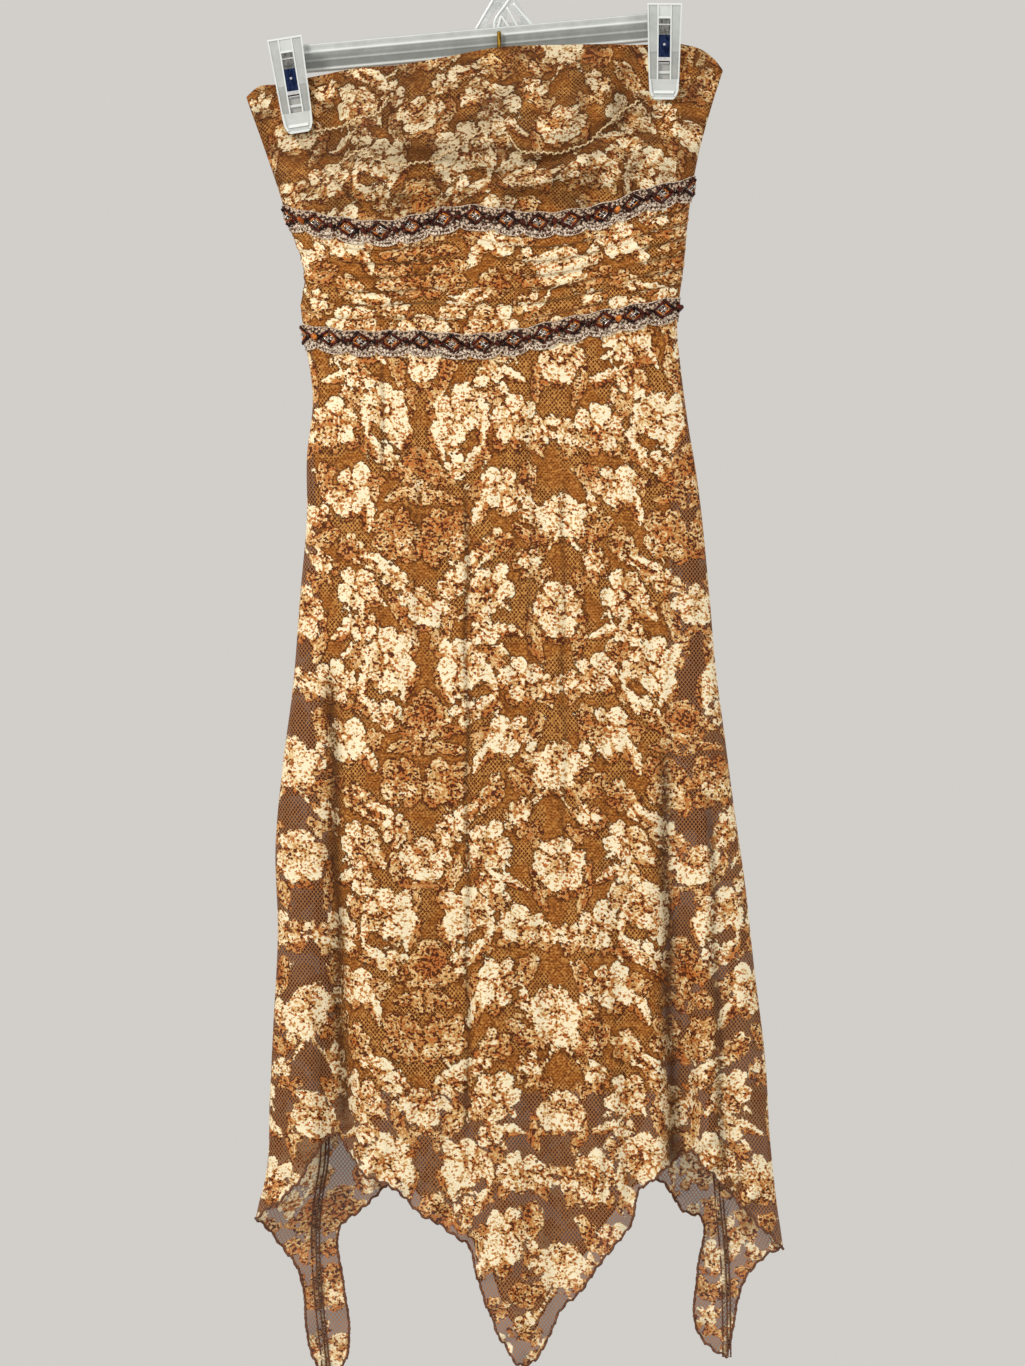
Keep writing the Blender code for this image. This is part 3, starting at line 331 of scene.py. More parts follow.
def slip_surface(angle, z):
    """The straight slip inside the skirt: against the skirt at the waist, and free of it further down."""
    top = waist(angle)
    skirt = plain(angle, z)
    depth_in = WALL + SEAM_GAP + 0.0001 + SLIP_EDGE_CLEARANCE * (1 - roundness(angle)) ** 2
    skirt -= depth_in[..., None] * outward(plain, angle, z)
    down = (top - z) / (top - SLIP_HEM_Z)
    middle, half = dress_edges(z)
    left = (1 - down) * (WAIST_FRONT[0].x + SLIP_INSET) + down * SLIP_LEFT_HEM_X
    left = np.maximum(left, middle - half + SLIP_INSET)
    right = (1 - down) * (WAIST_FRONT[-1].x - SLIP_INSET) + down * SLIP_RIGHT_HEM_X
    right = np.minimum(right, middle + half - SLIP_INSET)
    x = (left + right) / 2 - (right - left) / 2 * np.cos(angle)
    in_front = np.sin(angle) >= 0
    depth = np.where(in_front, SLIP_FRONT_DEPTH, SLIP_BACK_DEPTH) * roundness(angle)
    depth = np.where(in_front, -1, 1) * np.maximum(depth, SEAM_SHY)
    free = np.stack([x, MIDPLANE_Y + depth, z], axis=-1)
    settled = soft_step((top - z) / SLIP_SETTLE)[..., None]
    return skirt * (1 - settled) + free * settled


def outward(surface, angle, z):
    """Unit normals of a surface, pointing out of the dress."""
    turn, lift = 1e-3, 2e-4
    along = surface(angle + turn, z) - surface(angle - turn, z)
    up = surface(angle, z + lift) - surface(angle, z - lift)
    normal = np.cross(along, up)
    return normal / np.linalg.norm(normal, axis=-1, keepdims=True)


def side_seam(z, left):
    """The angle of a side seam of the skirt, which lies behind the edge, further in towards the hem."""
    down = soft_step((SIDE_SEAM_Z_WAIST - z) / (SIDE_SEAM_Z_WAIST - SIDE_SEAM_Z_HEM))
    inset = SIDE_SEAM_INSET_WAIST + (SIDE_SEAM_INSET_HEM - SIDE_SEAM_INSET_WAIST) * down
    angle = np.arccos(1 - inset / dress_edges(z)[1])
    return 2 * math.pi - angle if left else math.pi + angle


CLOTH_STEP = 0.0021
COLUMNS_EVEN_AT = -0.62  # The height at which the columns of a skirt panel lie evenly.
ANGLE_SCALE = (0.2, 1.0)  # Brings (angle, height) to about one length in both directions.
HEM_WAVE_LENGTH = 0.031
HEM_WAVE_DEPTH = 0.0036
HEM_WAVE_REACH = 0.020
HEM_FRILL = 0.0013
HEM_FRILL_LENGTH = 0.012
HEM_FRILL_REACH = 0.004
HEM_ZONE_TOP = -0.86
AT_ONCE = 4000  # How many points are measured against the hem in one step.
EDGING_RADIUS = 0.0011
EDGING_TWIST = 0.22
SEAM_HALF_WIDTH = 0.0034
SEAM_SHOWN_FROM = -0.30
SEAM_STEP = 0.0016
SEAM_CORD_RADIUS = 0.0008
SEAM_CORD_INSIDE = 0.0012
RUNG_RADIUS = 0.0004
RUNG_INSIDE = 0.0020
FULL_TURN = 2 * math.pi

TrimRow = namedtuple("TrimRow", "x_first pitch")
UPPER_MOTIFS = TrimRow(-0.181, 0.0275)
LOWER_MOTIFS = TrimRow(-0.168, 0.0263)


NOISE_WAVES = 9


def soft_noise(x, y, size, seed):
    """Smooth waves of about one size in all directions, from -1 to 1, the same on each run."""
    chance = np.random.default_rng(seed)
    total = np.zeros_like(x)
    for _ in range(NOISE_WAVES):
        turn, phase = chance.uniform(0, 2 * math.pi, 2)
        rate = 2 * math.pi / size * chance.uniform(0.6, 1.5)
        total += np.sin(rate * (x * math.cos(turn) + y * math.sin(turn)) + phase)
    return total / (NOISE_WAVES / 2)


def lengths_along(points):
    """How far along a path each of its points lies."""
    return np.concatenate([[0], np.cumsum(np.linalg.norm(np.diff(points, axis=0), axis=1))])


def even_places(along, step):
    """Places about one step apart from the start of a path to its end."""
    return np.linspace(0, along[-1], max(2, int(round(along[-1] / step)) + 1))


def smooth_path(points, step):
    """Points about one step apart on the smooth curve through the given ones."""
    points = np.array(points, float)
    along = lengths_along(points)
    places = even_places(along, step)
    return np.stack([curve_through(list(zip(along, axis)), places) for axis in points.T], axis=1)


def new_object(name, points, faces, looks, slots=None):
    mesh = bpy.data.meshes.new(name)
    mesh.from_pydata(np.asarray(points, float).tolist(), [], [tuple(face) for face in faces])
    mesh.validate()
    mesh.shade_smooth()
    for look in looks:
        mesh.materials.append(look)
    if slots is not None:
        mesh.polygons.foreach_set("material_index", np.asarray(slots, np.int32))
    made = bpy.data.objects.new(name, mesh)
    bpy.context.scene.collection.objects.link(made)
    return made


def give(made, name, values):
    """Stores one number, or three, for each point of an object, for its material to read."""
    values = np.asarray(values, np.float32)
    kind, field = ("FLOAT", "value") if values.ndim == 1 else ("FLOAT_VECTOR", "vector")
    made.data.attributes.new(name, kind, "POINT").data.foreach_set(field, values.ravel())


# The pattern of the lace, in millimetres of cloth.

Bloom = namedtuple("Bloom", "x y radius petals turn")
Leaf = namedtuple("Leaf", "x y turn length width")
Blot = namedtuple("Blot", "x y radius lobes")
Scroll = namedtuple("Scroll", "x y radius start sweep width")
HALF_REPEAT = 118.0
REPEAT_HEIGHT = 214.0
MIRROR_X = 52.0
SHADOW = (5.8, -6.2)  # How far the dark copy under each bloom lies from it.
BLOTS = named_rows(Blot, (
    (28, 68, 12, 3), (74, 56, 12, 4), (56, 130, 13, 3), (104, 140, 13, 4), (18, 188, 12, 3),
    (82, 200, 12, 4), (64, 88, 10, 3), (14, 94, 12, 4), (110, 46, 11, 3), (26, 10, 12, 4),
))
LEAVES = named_rows(Leaf, (
    (26, 64, 100, 19, 8), (70, 86, -50, 18, 8), (20, 138, 75, 17, 7), (44, 150, 20, 16, 7),
    (96, 158, 105, 19, 8), (80, 206, -25, 15, 7), (26, 198, 120, 17, 7), (102, 100, 70, 17, 8),
    (34, 14, 45, 17, 8), (72, 36, -70, 16, 7), (98, 46, 15, 14, 7), (64, 112, 85, 16, 7),
))
BLOOMS = named_rows(Bloom, (
    (4, 32, 22, 6, 12), (50, 58, 20, 5, 40), (98, 18, 20, 5, 70), (36, 110, 20, 5, 15),
    (84, 122, 22, 6, 35), (0, 166, 21, 6, 0), (58, 180, 20, 5, 50), (116, 74, 20, 5, 25),
    (114, 168, 18, 4, 80), (86, 78, 12, 4, 10), (26, 40, 10, 3, 60), (62, 150, 12, 4, 30),
    (56, 8, 13, 5, 75), (8, 106, 12, 4, 45), (94, 192, 12, 5, 5), (30, 206, 10, 4, 30),
))
SCROLLS = named_rows(Scroll, (
    (38, 86, 24, 200, 150, 1.5), (88, 66, 26, 60, 120, 1.4), (24, 148, 26, -60, 120, 1.4),
    (102, 122, 20, 150, 130, 1.5), (64, 152, 22, 20, 140, 1.4), (30, 18, 22, 120, 140, 1.5),
    (78, 8, 20, 210, 130, 1.4),
))
RUST_TONE = 0.27
SHADOW_TONE = 0.26
SCROLL_TONE = 0.74
LEAF_GAP = 1.8
BLOOM_GAP = 2.8
PETAL_ROUNDNESS = 2.3
OUTSIDE = -9.0
EYE_SHARE = 0.24


def bloom_shape(bloom, x, y):
    """How far inside a bloom of rounded petals a point lies, and how light its thread is there."""
    best, second = np.full_like(x, OUTSIDE), np.full_like(x, OUTSIDE)
    tone = np.zeros_like(x)
    for k in range(bloom.petals):
        turn = math.radians(bloom.turn + 360 * k / bloom.petals + 9 * math.sin(7 * k + bloom.y))
        length = bloom.radius * (0.50 + 0.05 * math.sin(5 * k + bloom.x))
        width = length * (1.06 - 0.05 * bloom.petals + 0.08 * math.cos(3 * k + bloom.x))
        along = (x * math.cos(turn) + y * math.sin(turn) - 0.56 * bloom.radius) / length
        across = (-x * math.sin(turn) + y * math.cos(turn)) / width
        away = np.abs(along) ** PETAL_ROUNDNESS + np.abs(across) ** PETAL_ROUNDNESS
        body = width * (1 - away ** (1 / PETAL_ROUNDNESS))
        body -= 1.3 * np.exp(-((across / 0.22) ** 2)) * np.clip(along, 0, 1)
        shade = 0.68 + 0.16 * along + 0.14 * across + 0.20 * math.sin(11 * k + bloom.y)
        over = body > best
        second = np.where(over, best, np.maximum(second, body))
        tone = np.where(over, shade, tone)
        best = np.where(over, body, best)
    between = np.exp(-(((best - second) / 1.5) ** 2))
    tone = tone - 0.55 * between
    best = best - 1.6 * between * np.clip(np.hypot(x, y) / bloom.radius, 0, 1)
    eye = np.hypot(x, y) / (EYE_SHARE * bloom.radius)
    best = np.maximum(best, 0.26 * bloom.radius * (1.1 - eye))
    return best, np.where(eye < 1.0, 0.16 + 0.70 * (eye < 0.55), tone)


def leaf_shape(leaf, x, y):
    """How far inside a leaf a point lies, and how light its thread is: pale on one side, rust on one."""
    turn = math.radians(leaf.turn)
    along = (x * math.cos(turn) + y * math.sin(turn)) / leaf.length
    across = (-x * math.sin(turn) + y * math.cos(turn)) / leaf.width
    t = np.clip(along, -1, 1)
    teeth = 1 + 0.12 * np.sin(along * leaf.length * 0.9)
    body = leaf.width * ((1 - t * t) ** 0.6 * (0.85 + 0.25 * t) * teeth - np.abs(across))
    vein = 0.40 * np.exp(-((across * leaf.width / 0.9) ** 2))
    tone = 0.52 + 0.34 * np.tanh(6 * across) + 0.10 * along + vein
    return np.where(np.abs(along) > 1, OUTSIDE, body), tone


def scroll_shape(scroll, x, y):
    r, turn = np.hypot(x, y), np.degrees(np.arctan2(y, x))
    t = ((turn - scroll.start) % 360) / scroll.sweep
    width = scroll.width * (1.5 - 0.4 * np.clip(t, 0, 1))
    return np.where(t < 1, width - np.abs(r - scroll.radius - 4 * np.clip(t, 0, 1) ** 2), -3)


def lace_pattern(across, up):
    """The pattern at points of the cloth, given in metres: how far inside a shape worked in shining thread
    each point lies, in millimetres, and how light the thread is there, from rust at 0 to cream at 1."""
    x = 1000 * across + 7.0 * soft_noise(across, up, 0.15, 5) + 1.6 * soft_noise(across, up, 0.028, 7)
    y = 1000 * up + 7.0 * soft_noise(across, up, 0.13, 6) + 1.6 * soft_noise(across, up, 0.026, 8)
    x += 0.5 * soft_noise(across, up, 0.009, 9)
    y += 0.5 * soft_noise(across, up, 0.009, 10)
    x = np.abs((x - MIRROR_X + HALF_REPEAT) % (2 * HALF_REPEAT) - HALF_REPEAT)
    worked = np.full_like(x, -5.0)
    tone = np.zeros_like(x)

    def images(shape, shift=(0.0, 0.0)):
        """The shape's own place, and its mirror images where they reach into this half of the repeat."""
        dy = (y - shape.y - shift[1] + REPEAT_HEIGHT / 2) % REPEAT_HEIGHT - REPEAT_HEIGHT / 2
        place = shape.x + shift[0]
        return ((x - place, dy), (-(x + place), dy), (2 * HALF_REPEAT - x - place, dy))

    def lay(body, shade, gap=0.0):
        """Lays a shape over those before it, with a narrow gap around it."""
        nonlocal worked, tone
        worked = worked - gap * np.exp(-(((body + 1.2) / 1.0) ** 2))
        tone = np.where((body > -0.4) | (body > worked), shade, tone)
        worked = np.maximum(worked, body)

    for blot in BLOTS:
        for dx, dy in images(blot):
            r, turn = np.hypot(dx, dy), np.arctan2(dy, dx)
            wave = 0.24 * np.cos(blot.lobes * turn + blot.x) + 0.10 * np.cos(9 * turn + blot.y)
            inside = blot.radius * (0.74 + wave) - r
            lay(inside, RUST_TONE + 0.02 * inside)
    for bloom in BLOOMS:
        for dx, dy in images(bloom, SHADOW):
            lay(bloom_shape(bloom, dx, dy)[0], SHADOW_TONE)
    for scroll in SCROLLS:
        for dx, dy in images(scroll):
            lay(scroll_shape(scroll, dx, dy), SCROLL_TONE)
    for k, leaf in enumerate(LEAVES):
        for dx, dy in images(leaf):
            body, shade = leaf_shape(leaf, dx, dy)
            lay(body, 0.18 + 0.25 * shade if k % 2 == 0 else shade, LEAF_GAP)
    for k, bloom in enumerate(BLOOMS):
        for dx, dy in images(bloom):
            body, shade = bloom_shape(bloom, dx, dy)
            lay(body, 0.10 + 0.42 * shade if k % 5 == 2 else shade, BLOOM_GAP)
    tone = tone + 0.07 * soft_noise(across, up, 0.014, 12) + 0.14 * soft_noise(across, up, 0.046, 13)
    return np.clip(worked, -5, 12), np.clip(tone, -0.2, 1.2)


# Materials.


SCREEN_GAMMA = 2.2


def linear(colour):
    """A colour given as the 8-bit numbers of a screen, as light."""
    shares = (np.array(colour) / 255) ** SCREEN_GAMMA
    return (*map(float, shares), 1.0)


class Look:
    """A material's nodes, made by short calls. Inputs are numbers, colours or outputs of earlier calls."""

    def __init__(self, name):
        self.material = bpy.data.materials.new(name)
        self.material.use_nodes = True
        self.tree = self.material.node_tree
        self.shader = self.tree.nodes["Principled BSDF"]
        self.output = self.tree.nodes["Material Output"]

    def put(self, socket, value):
        if isinstance(value, bpy.types.NodeSocket):
            self.tree.links.new(value, socket)
        else:
            socket.default_value = value

    def node(self, kind, out=0, settings=(), **inputs):
        made = self.tree.nodes.new(f"ShaderNode{kind}")
        for key, value in settings:
            setattr(made, key, value)
        for key, value in inputs.items():
            index = int(key[1:]) if key[0] == "i" and key[1:].isdigit() else key.replace("_", " ")
            self.put(made.inputs[index], value)
        return made.outputs[out]

    def math(self, operation, a, b=0.0, c=0.0):
        return self.node("Math", settings=[("operation", operation)], i0=a, i1=b, i2=c)

    def line(self, value, by, plus):
        return self.math("MULTIPLY_ADD", value, by, plus)

    def times(self, a, b):
        return self.math("MULTIPLY", a, b)

    def plus(self, a, b):
        return self.math("ADD", a, b)

    def parts(self, vector):
        """The X, Y and Z of a vector."""
        made = self.tree.nodes.new("ShaderNodeSeparateXYZ")
        self.put(made.inputs[0], vector)
        return made.outputs

    def ease(self, value, low, high, to_low=0.0, to_high=1.0):
        """The value brought from one range into another, with a smooth step between."""
        made = self.tree.nodes.new("ShaderNodeMapRange")
        made.interpolation_type = "SMOOTHSTEP"
        for key, number in enumerate((value, low, high, to_low, to_high)):
            self.put(made.inputs[key], number)
        return made.outputs[0]

    def mix(self, share, a, b):
        """Colours a and b mixed, each the output of an earlier call or the 8-bit numbers of a screen."""
        made = self.tree.nodes.new("ShaderNodeMix")
        made.data_type = "RGBA"
        self.put(made.inputs[0], share)
        for key, colour in ((6, a), (7, b)):
            self.put(made.inputs[key], linear(colour) if isinstance(colour, tuple) else colour)
        return made.outputs[2]

    def read(self, name, out="Fac"):
        return self.node("Attribute", out=out, settings=[("attribute_name", name)])

    def scaled(self, vector, x, y, z=1.0):
        return self.node("VectorMath", settings=[("operation", "MULTIPLY")], i0=vector, i1=(x, y, z))

    def noise(self, vector, scale, detail=2.0, rough=0.5):
        return self.node("TexNoise", Vector=vector, Scale=scale, Detail=detail, Roughness=rough)

    def cells(self, vector, scale, feature="F1"):
        return self.node("TexVoronoi", settings=[("feature", feature)], Vector=vector, Scale=scale)

    def place(self):
        return self.node("TexCoord", out="Object")

    def bump(self, height, depth, strength=1.0):
        made = self.node("Bump", Strength=strength, Distance=depth, Height=height)
        self.put(self.shader.inputs["Normal"], made)

    def set(self, **inputs):
        for key, value in inputs.items():
            self.put(self.shader.inputs[key.replace("_", " ")], value)


CREAM = (250, 236, 200)
PALE = (230, 194, 136)
GOLD = (190, 140, 78)
RUST = (190, 108, 50)
UMBER = (84, 40, 14)
# TAUPE and DEEP are the shapes and the ground where the lace lies in two layers, and where painted fold shade
# darkens it.
TAUPE = (164, 140, 104)
DEEP = (66, 40, 22)
NET_THREAD = (210, 150, 80)
NET_HOLE = (94, 46, 12)
MOIRE_LIGHT = (172, 102, 38)
MOIRE_DARK = (128, 70, 20)
SHEER_THREAD = (164, 112, 70)
SHEER_DARK = (74, 34, 12)
# Painted shade on the ground round the worked shapes.
SHADE_AROUND_SHAPES = (58, 28, 10)
NET_PITCH = 0.0033
NET_SLANT = 0.8
MOIRE_PITCH = 0.0026
LOBES = (96, 80)
STITCH = (520, 620)


def net_threads(look, cloth):
    """1 on the threads of a net of slanting meshes and 0 in its holes."""
    x, y, _ = look.parts(cloth)
    rate = math.pi / NET_PITCH
    slanted = look.times(y, NET_SLANT * rate)
    rising = look.math("SINE", look.line(x, rate, slanted))
    falling = look.math("SINE", look.math("SUBTRACT", look.times(x, rate), slanted))
    nearest = look.math("MINIMUM", look.math("ABSOLUTE", rising), look.math("ABSOLUTE", falling))
    return look.ease(nearest, 0.20, 0.50, 1.0, 0.0)


def stitches(look, cloth):
    """A chance number from 0 to 1 for each stitch of the thread."""
    return look.parts(look.node("TexVoronoi", out="Color", Vector=look.scaled(cloth, *STITCH), Scale=1.0))[0]


def moire(look, cloth, sway):
    """Wavy level lines, as where the net lies on the cloth behind it."""
    phase = look.line(look.parts(cloth)[1], 2 * math.pi / MOIRE_PITCH, look.times(sway, 26.0))
    return look.line(look.math("SINE", phase), 0.5, 0.5)


def lace_look(name):
    """Raschel lace: shapes of short shining threads, cream to rust, on a net that shows what is behind."""
    look = Look(name)
    cloth = look.read("cloth", "Vector")
    grit = look.noise(look.scaled(cloth, 380, 520), 1.0, 2.0, 0.7)
    stitch = stitches(look, cloth)
    patch = look.noise(cloth, 34.0, 1.0, 0.5)
    backed = look.read("backed")
    net = net_threads(look, cloth)

    lobes = look.scaled(cloth, *LOBES)
    from_middle = look.cells(lobes, 1.0)
    from_edge = look.cells(lobes, 1.0, "DISTANCE_TO_EDGE")
    rounded = look.line(from_middle, -1.8, 0.85)
    grain = look.line(grit, 2.0, look.line(stitch, 0.7, -1.35))
    inside = look.plus(look.read("worked"), look.plus(rounded, grain))
    shapes = look.ease(inside, -0.35, 0.35)

    curls = look.math("SINE", look.line(look.read("worked"), 2.5, look.times(patch, 6.0)))
    tone = look.line(look.math("SUBTRACT", grit, 0.5), 0.4, look.read("tone"))
    tone = look.plus(look.ease(stitch, 0.05, 0.60, -0.58, 0.12), look.math("MINIMUM", tone, 0.98))
    tone = look.line(curls, 0.12, tone)
    tone = look.plus(look.ease(from_edge, 0.01, 0.08, -0.10, 0.02), tone)
    tone = look.plus(look.ease(inside, 0.0, 0.8, -0.20, 0.04), tone)
    worked = look.mix(look.ease(tone, 0.00, 0.20), UMBER, RUST)
    worked = look.mix(look.ease(tone, 0.24, 0.46), worked, GOLD)
    worked = look.mix(look.ease(tone, 0.44, 0.62), worked, PALE)
    worked = look.mix(look.ease(tone, 0.62, 0.84), worked, CREAM)

    plain = look.mix(moire(look, cloth, patch), MOIRE_DARK, MOIRE_LIGHT)
    meshes = look.mix(net, NET_HOLE, NET_THREAD)
    on_slip = look.mix(look.ease(patch, 0.44, 0.56, 0.0, 0.72), meshes, plain)
    on_slip = look.mix(look.ease(stitch, 0.70, 1.0, 0.0, 0.6), on_slip, NET_THREAD)
    on_slip = look.mix(look.ease(stitch, 0.45, 0.0, 0.0, 0.7), on_slip, NET_HOLE)
    # Painted shade on the ground just outside each worked shape, as if cast by its raised threads.
    on_slip = look.mix(look.ease(inside, -1.6, -0.2, 0.0, 0.75), on_slip, SHADE_AROUND_SHAPES)
    in_air = look.mix(net, SHEER_DARK, SHEER_THREAD)
    ground = look.mix(backed, in_air, on_slip)
    colour = look.mix(shapes, ground, worked)
    # Where the lace lies in two layers, and where fold shade is painted on it, its ground turns deep and its
    # shapes taupe.
    shade = look.mix(look.times(shapes, look.ease(tone, 0.50, 0.90)), DEEP, TAUPE)
    colour = look.mix(look.times(look.read("double_and_shade"), 0.80), colour, shade)

    look.set(Base_Color=colour, Roughness=look.line(shapes, -0.22, 0.74))
    look.set(Sheen_Weight=0.03, Sheen_Roughness=0.4, Specular_IOR_Level=0.16)
    height = look.line(shapes, 0.7, look.times(grit, 1.2))
    look.bump(height, 0.0009, 0.8)
    cover = look.line(net, 0.32, 0.65)
    cover = look.math("MAXIMUM", cover, look.times(shapes, 0.96))
    cover = look.math("MAXIMUM", cover, look.times(backed, 0.97))
    look.set(Alpha=look.math("MAXIMUM", cover, look.times(look.read("double_and_shade"), 0.9)))
    return look.material


def satin_look(name, light, dark):
    look = Look(name)
    place = look.place()
    twill = look.noise(look.scaled(place, 300, 300, 1400), 1.0, 2.0, 0.5)
    cloud = look.noise(place, 14.0, 2.0, 0.5)
    share = look.ease(look.line(twill, 0.4, look.times(cloud, 0.6)), 0.35, 0.65)
    look.set(Base_Color=look.mix(share, dark, light), Roughness=look.line(twill, 0.2, 0.38))
    look.set(Sheen_Weight=0.1)
    look.bump(twill, 0.0003, 0.5)
    return look.material


def thread_look(name, light, dark, scale=900.0):
    look = Look(name)
    place = look.place()
    strands = look.noise(place, scale, 2.0, 0.6)
    look.set(Base_Color=look.mix(look.ease(strands, 0.4, 0.62), dark, light))
    look.set(Roughness=look.line(strands, 0.3, 0.45))
    look.bump(strands, 0.0004, 0.8)
    return look.material


HOLE_PITCH = 2.5
HOLE_HEIGHT = 1.9


def braid_look():
    """Silver lace of the braids, with a row of small holes above the scalloped edge."""
    look = Look("silver_lace")
    along, edge = look.read("along"), look.read("edge")
    place = look.place()
    strands = look.noise(place, 1100.0, 2.0, 0.6)
    tufts = look.cells(place, 480.0)
    share = look.ease(look.line(tufts, 0.5, look.times(strands, 0.6)), 0.44, 0.64)
    colour = look.mix(share, (248, 232, 210), (80, 42, 22))
    shade = look.ease(look.noise(place, 160.0, 1.0), 0.45, 0.7)
    colour = look.mix(look.times(shade, 0.25), colour, (92, 58, 40))
    upper = look.mix(look.ease(tufts, 0.30, 0.62), (206, 176, 146), (44, 20, 10))
    colour = look.mix(look.ease(edge, 4.6, 7.0, 0.0, 0.90), colour, upper)
    from_hole = look.math("SUBTRACT", look.math("FRACT", look.math("DIVIDE", along, HOLE_PITCH)), 0.5)
    sideways = look.times(from_hole, HOLE_PITCH)
    down = look.math("SUBTRACT", edge, HOLE_HEIGHT)
    reach = look.math("SQRT", look.plus(look.times(sideways, sideways), look.times(down, down)))
    hole = look.ease(reach, 0.62, 0.85, 0.0, 1.0)
    look.set(Base_Color=colour, Roughness=0.45, Specular_IOR_Level=0.2, Alpha=hole)
    look.bump(strands, 0.0005, 0.9)
    return look.material


def bead_look(name, colour, deep, roughness, metallic=0.0):
    look = Look(name)
    tint = look.ease(look.noise(look.place(), 220.0, 1.0), 0.35, 0.65)
    look.set(Base_Color=look.mix(tint, deep, colour), Metallic=metallic, Specular_IOR_Level=0.16)
    look.set(Roughness=look.line(tint, 0.1, roughness), Coat_Weight=0.05, Coat_Roughness=0.08)
    return look.material


def plastic_look(name):
    """Clear moulded plastic, a little milky."""
    look = Look(name)
    cloud = look.noise(look.place(), 60.0, 3.0, 0.6)
    colour = look.mix(look.ease(cloud, 0.35, 0.65), (214, 219, 219), (240, 243, 243))
    look.set(Base_Color=colour, Roughness=look.line(cloud, 0.14, 0.14))
    look.set(Transmission_Weight=0.62, IOR=1.46, Coat_Weight=0.4, Coat_Roughness=0.1)
    look.bump(look.noise(look.place(), 700.0, 2.0), 0.0002, 0.4)
    return look.material


def clear_look(name):
    """Clear moulded plastic, whiter along its edges. tint is how white it is, on the bar with painted
    highlights and shade, and cover how much it hides.
    """
    look = Look(name)
    cloud = look.noise(look.place(), 90.0, 3.0, 0.6)
    tint = look.line(look.math("SUBTRACT", cloud, 0.5), 0.3, look.read("tint"))
    look.set(Base_Color=look.mix(look.ease(tint, 0.0, 1.0), (124, 128, 124), (226, 231, 229)))
    look.set(Roughness=look.line(cloud, 0.14, 0.16), Alpha=look.read("cover"))
    look.set(Coat_Weight=0.4, Coat_Roughness=0.1)
    return look.material


def metal_look(name, colour, dark, roughness):
    look = Look(name)
    scratch = look.noise(look.scaled(look.place(), 900, 900, 120), 1.0, 2.0, 0.6)
    look.set(Base_Color=look.mix(look.ease(scratch, 0.4, 0.65), colour, dark), Metallic=1.0)
    look.set(Roughness=look.line(scratch, 0.2, roughness))
    look.bump(scratch, 0.0001, 0.4)
    return look.material


# Panels of cloth.


def ring_faces(count, rings, first=0):
    """Faces between rings of points that follow one another, each ring closed."""
    starts = range(first, first + (rings - 1) * count, count)
    sides = [(start + j, start + (j + 1) % count) for start in starts for j in range(count)]
    return [(a, b, b + count, a + count) for a, b in sides]


def ring_ends(count, rings, turned=True):
    """The faces that close the first and the last ring."""
    first, last = tuple(range(count)), tuple(range((rings - 1) * count, rings * count))
    return [first[::-1] if turned else first, last]


def grid_faces(columns, rows):
    """Faces of a grid whose points go row by row, the first row lowest."""
    start = (np.arange(rows - 1)[:, None] * columns + np.arange(columns - 1)[None, :]).ravel()
    return np.stack([start, start + 1, start + columns + 1, start + columns], axis=1).tolist()


TABLE_COLUMNS = 500
TABLE_ROWS = 90


def cloth_table(surface, angle_low, angle_high, origin, z_low, z_high):
    """A function that gives how far across the cloth a point lies, along its folds from the origin angle."""
    angles = np.linspace(angle_low, angle_high, TABLE_COLUMNS)
    heights = np.linspace(z_low, z_high, TABLE_ROWS)
    points = surface(*np.meshgrid(angles, heights))
    steps = np.linalg.norm(np.diff(points[..., :2], axis=1), axis=2)
    across = np.concatenate([np.zeros((len(heights), 1)), np.cumsum(steps, axis=1)], axis=1)
    middle = int(np.argmin(np.abs(angles - origin)))
    across = across - across[:, middle : middle + 1] + points[:, middle, 0][:, None]

    def look_up(angle, z):
        column = np.clip((angle - angle_low) / (angle_high - angle_low), 0, 1) * (len(angles) - 1.001)
        row = np.clip((z - z_low) / (z_high - z_low), 0, 1) * (len(heights) - 1.001)
        i, j = row.astype(int), column.astype(int)
        s, t = row - i, column - j
        lower = across[i, j] * (1 - t) + across[i, j + 1] * t
        higher = across[i + 1, j] * (1 - t) + across[i + 1, j + 1] * t
        return lower * (1 - s) + higher * s

    return look_up


def dress_in_lace(made, across, up, double_and_shade=None, backed=None):
    """Stores the lace's pattern on an object, from how far across and up the cloth each point lies, with
    where the lace lies in two layers and where painted fold shade darkens it, and where plain cloth backs it."""
    for key, values in zip(("worked", "tone"), lace_pattern(across, up)):
        give(made, key, values)
    give(made, "double_and_shade", np.zeros_like(up) if double_and_shade is None else double_and_shade)
    give(made, "backed", np.ones_like(up) if backed is None else backed)
    give(made, "cloth", np.stack([across, up, np.zeros_like(up)], axis=-1))


def area_of(made):
    return sum(face.area for face in made.data.polygons)


def shown_as(made, nodes):
    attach(made, "root")
    if nodes:
        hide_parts(*nodes)


def crossings(outline, z):
    """The angles where a closed outline crosses a height, in order."""
    ends = np.roll(outline, -1, axis=0)
    over = (outline[:, 1] > z) != (ends[:, 1] > z)
    a, b = outline[over], ends[over]
    return np.sort(a[:, 0] + (z - a[:, 1]) / (b[:, 1] - a[:, 1]) * (b[:, 0] - a[:, 0]))


def inner_points(outline, angles, heights, gap, angle_gap):
    """Where the angles and heights cross inside an outline and not too near it."""
    found = []
    for z in heights:
        keep = np.ones(len(angles), bool)
        for height in (z - gap, z, z + gap):
            cut = crossings(outline, height)
            if not len(cut):
                keep[:] = False
                break
            keep &= np.searchsorted(cut, angles) % 2 == 1
            keep &= np.abs(angles[:, None] - cut[None, :]).min(1) > angle_gap
        found.append(np.stack([angles[keep], np.full(keep.sum(), z)], axis=1))
    return np.concatenate(found)


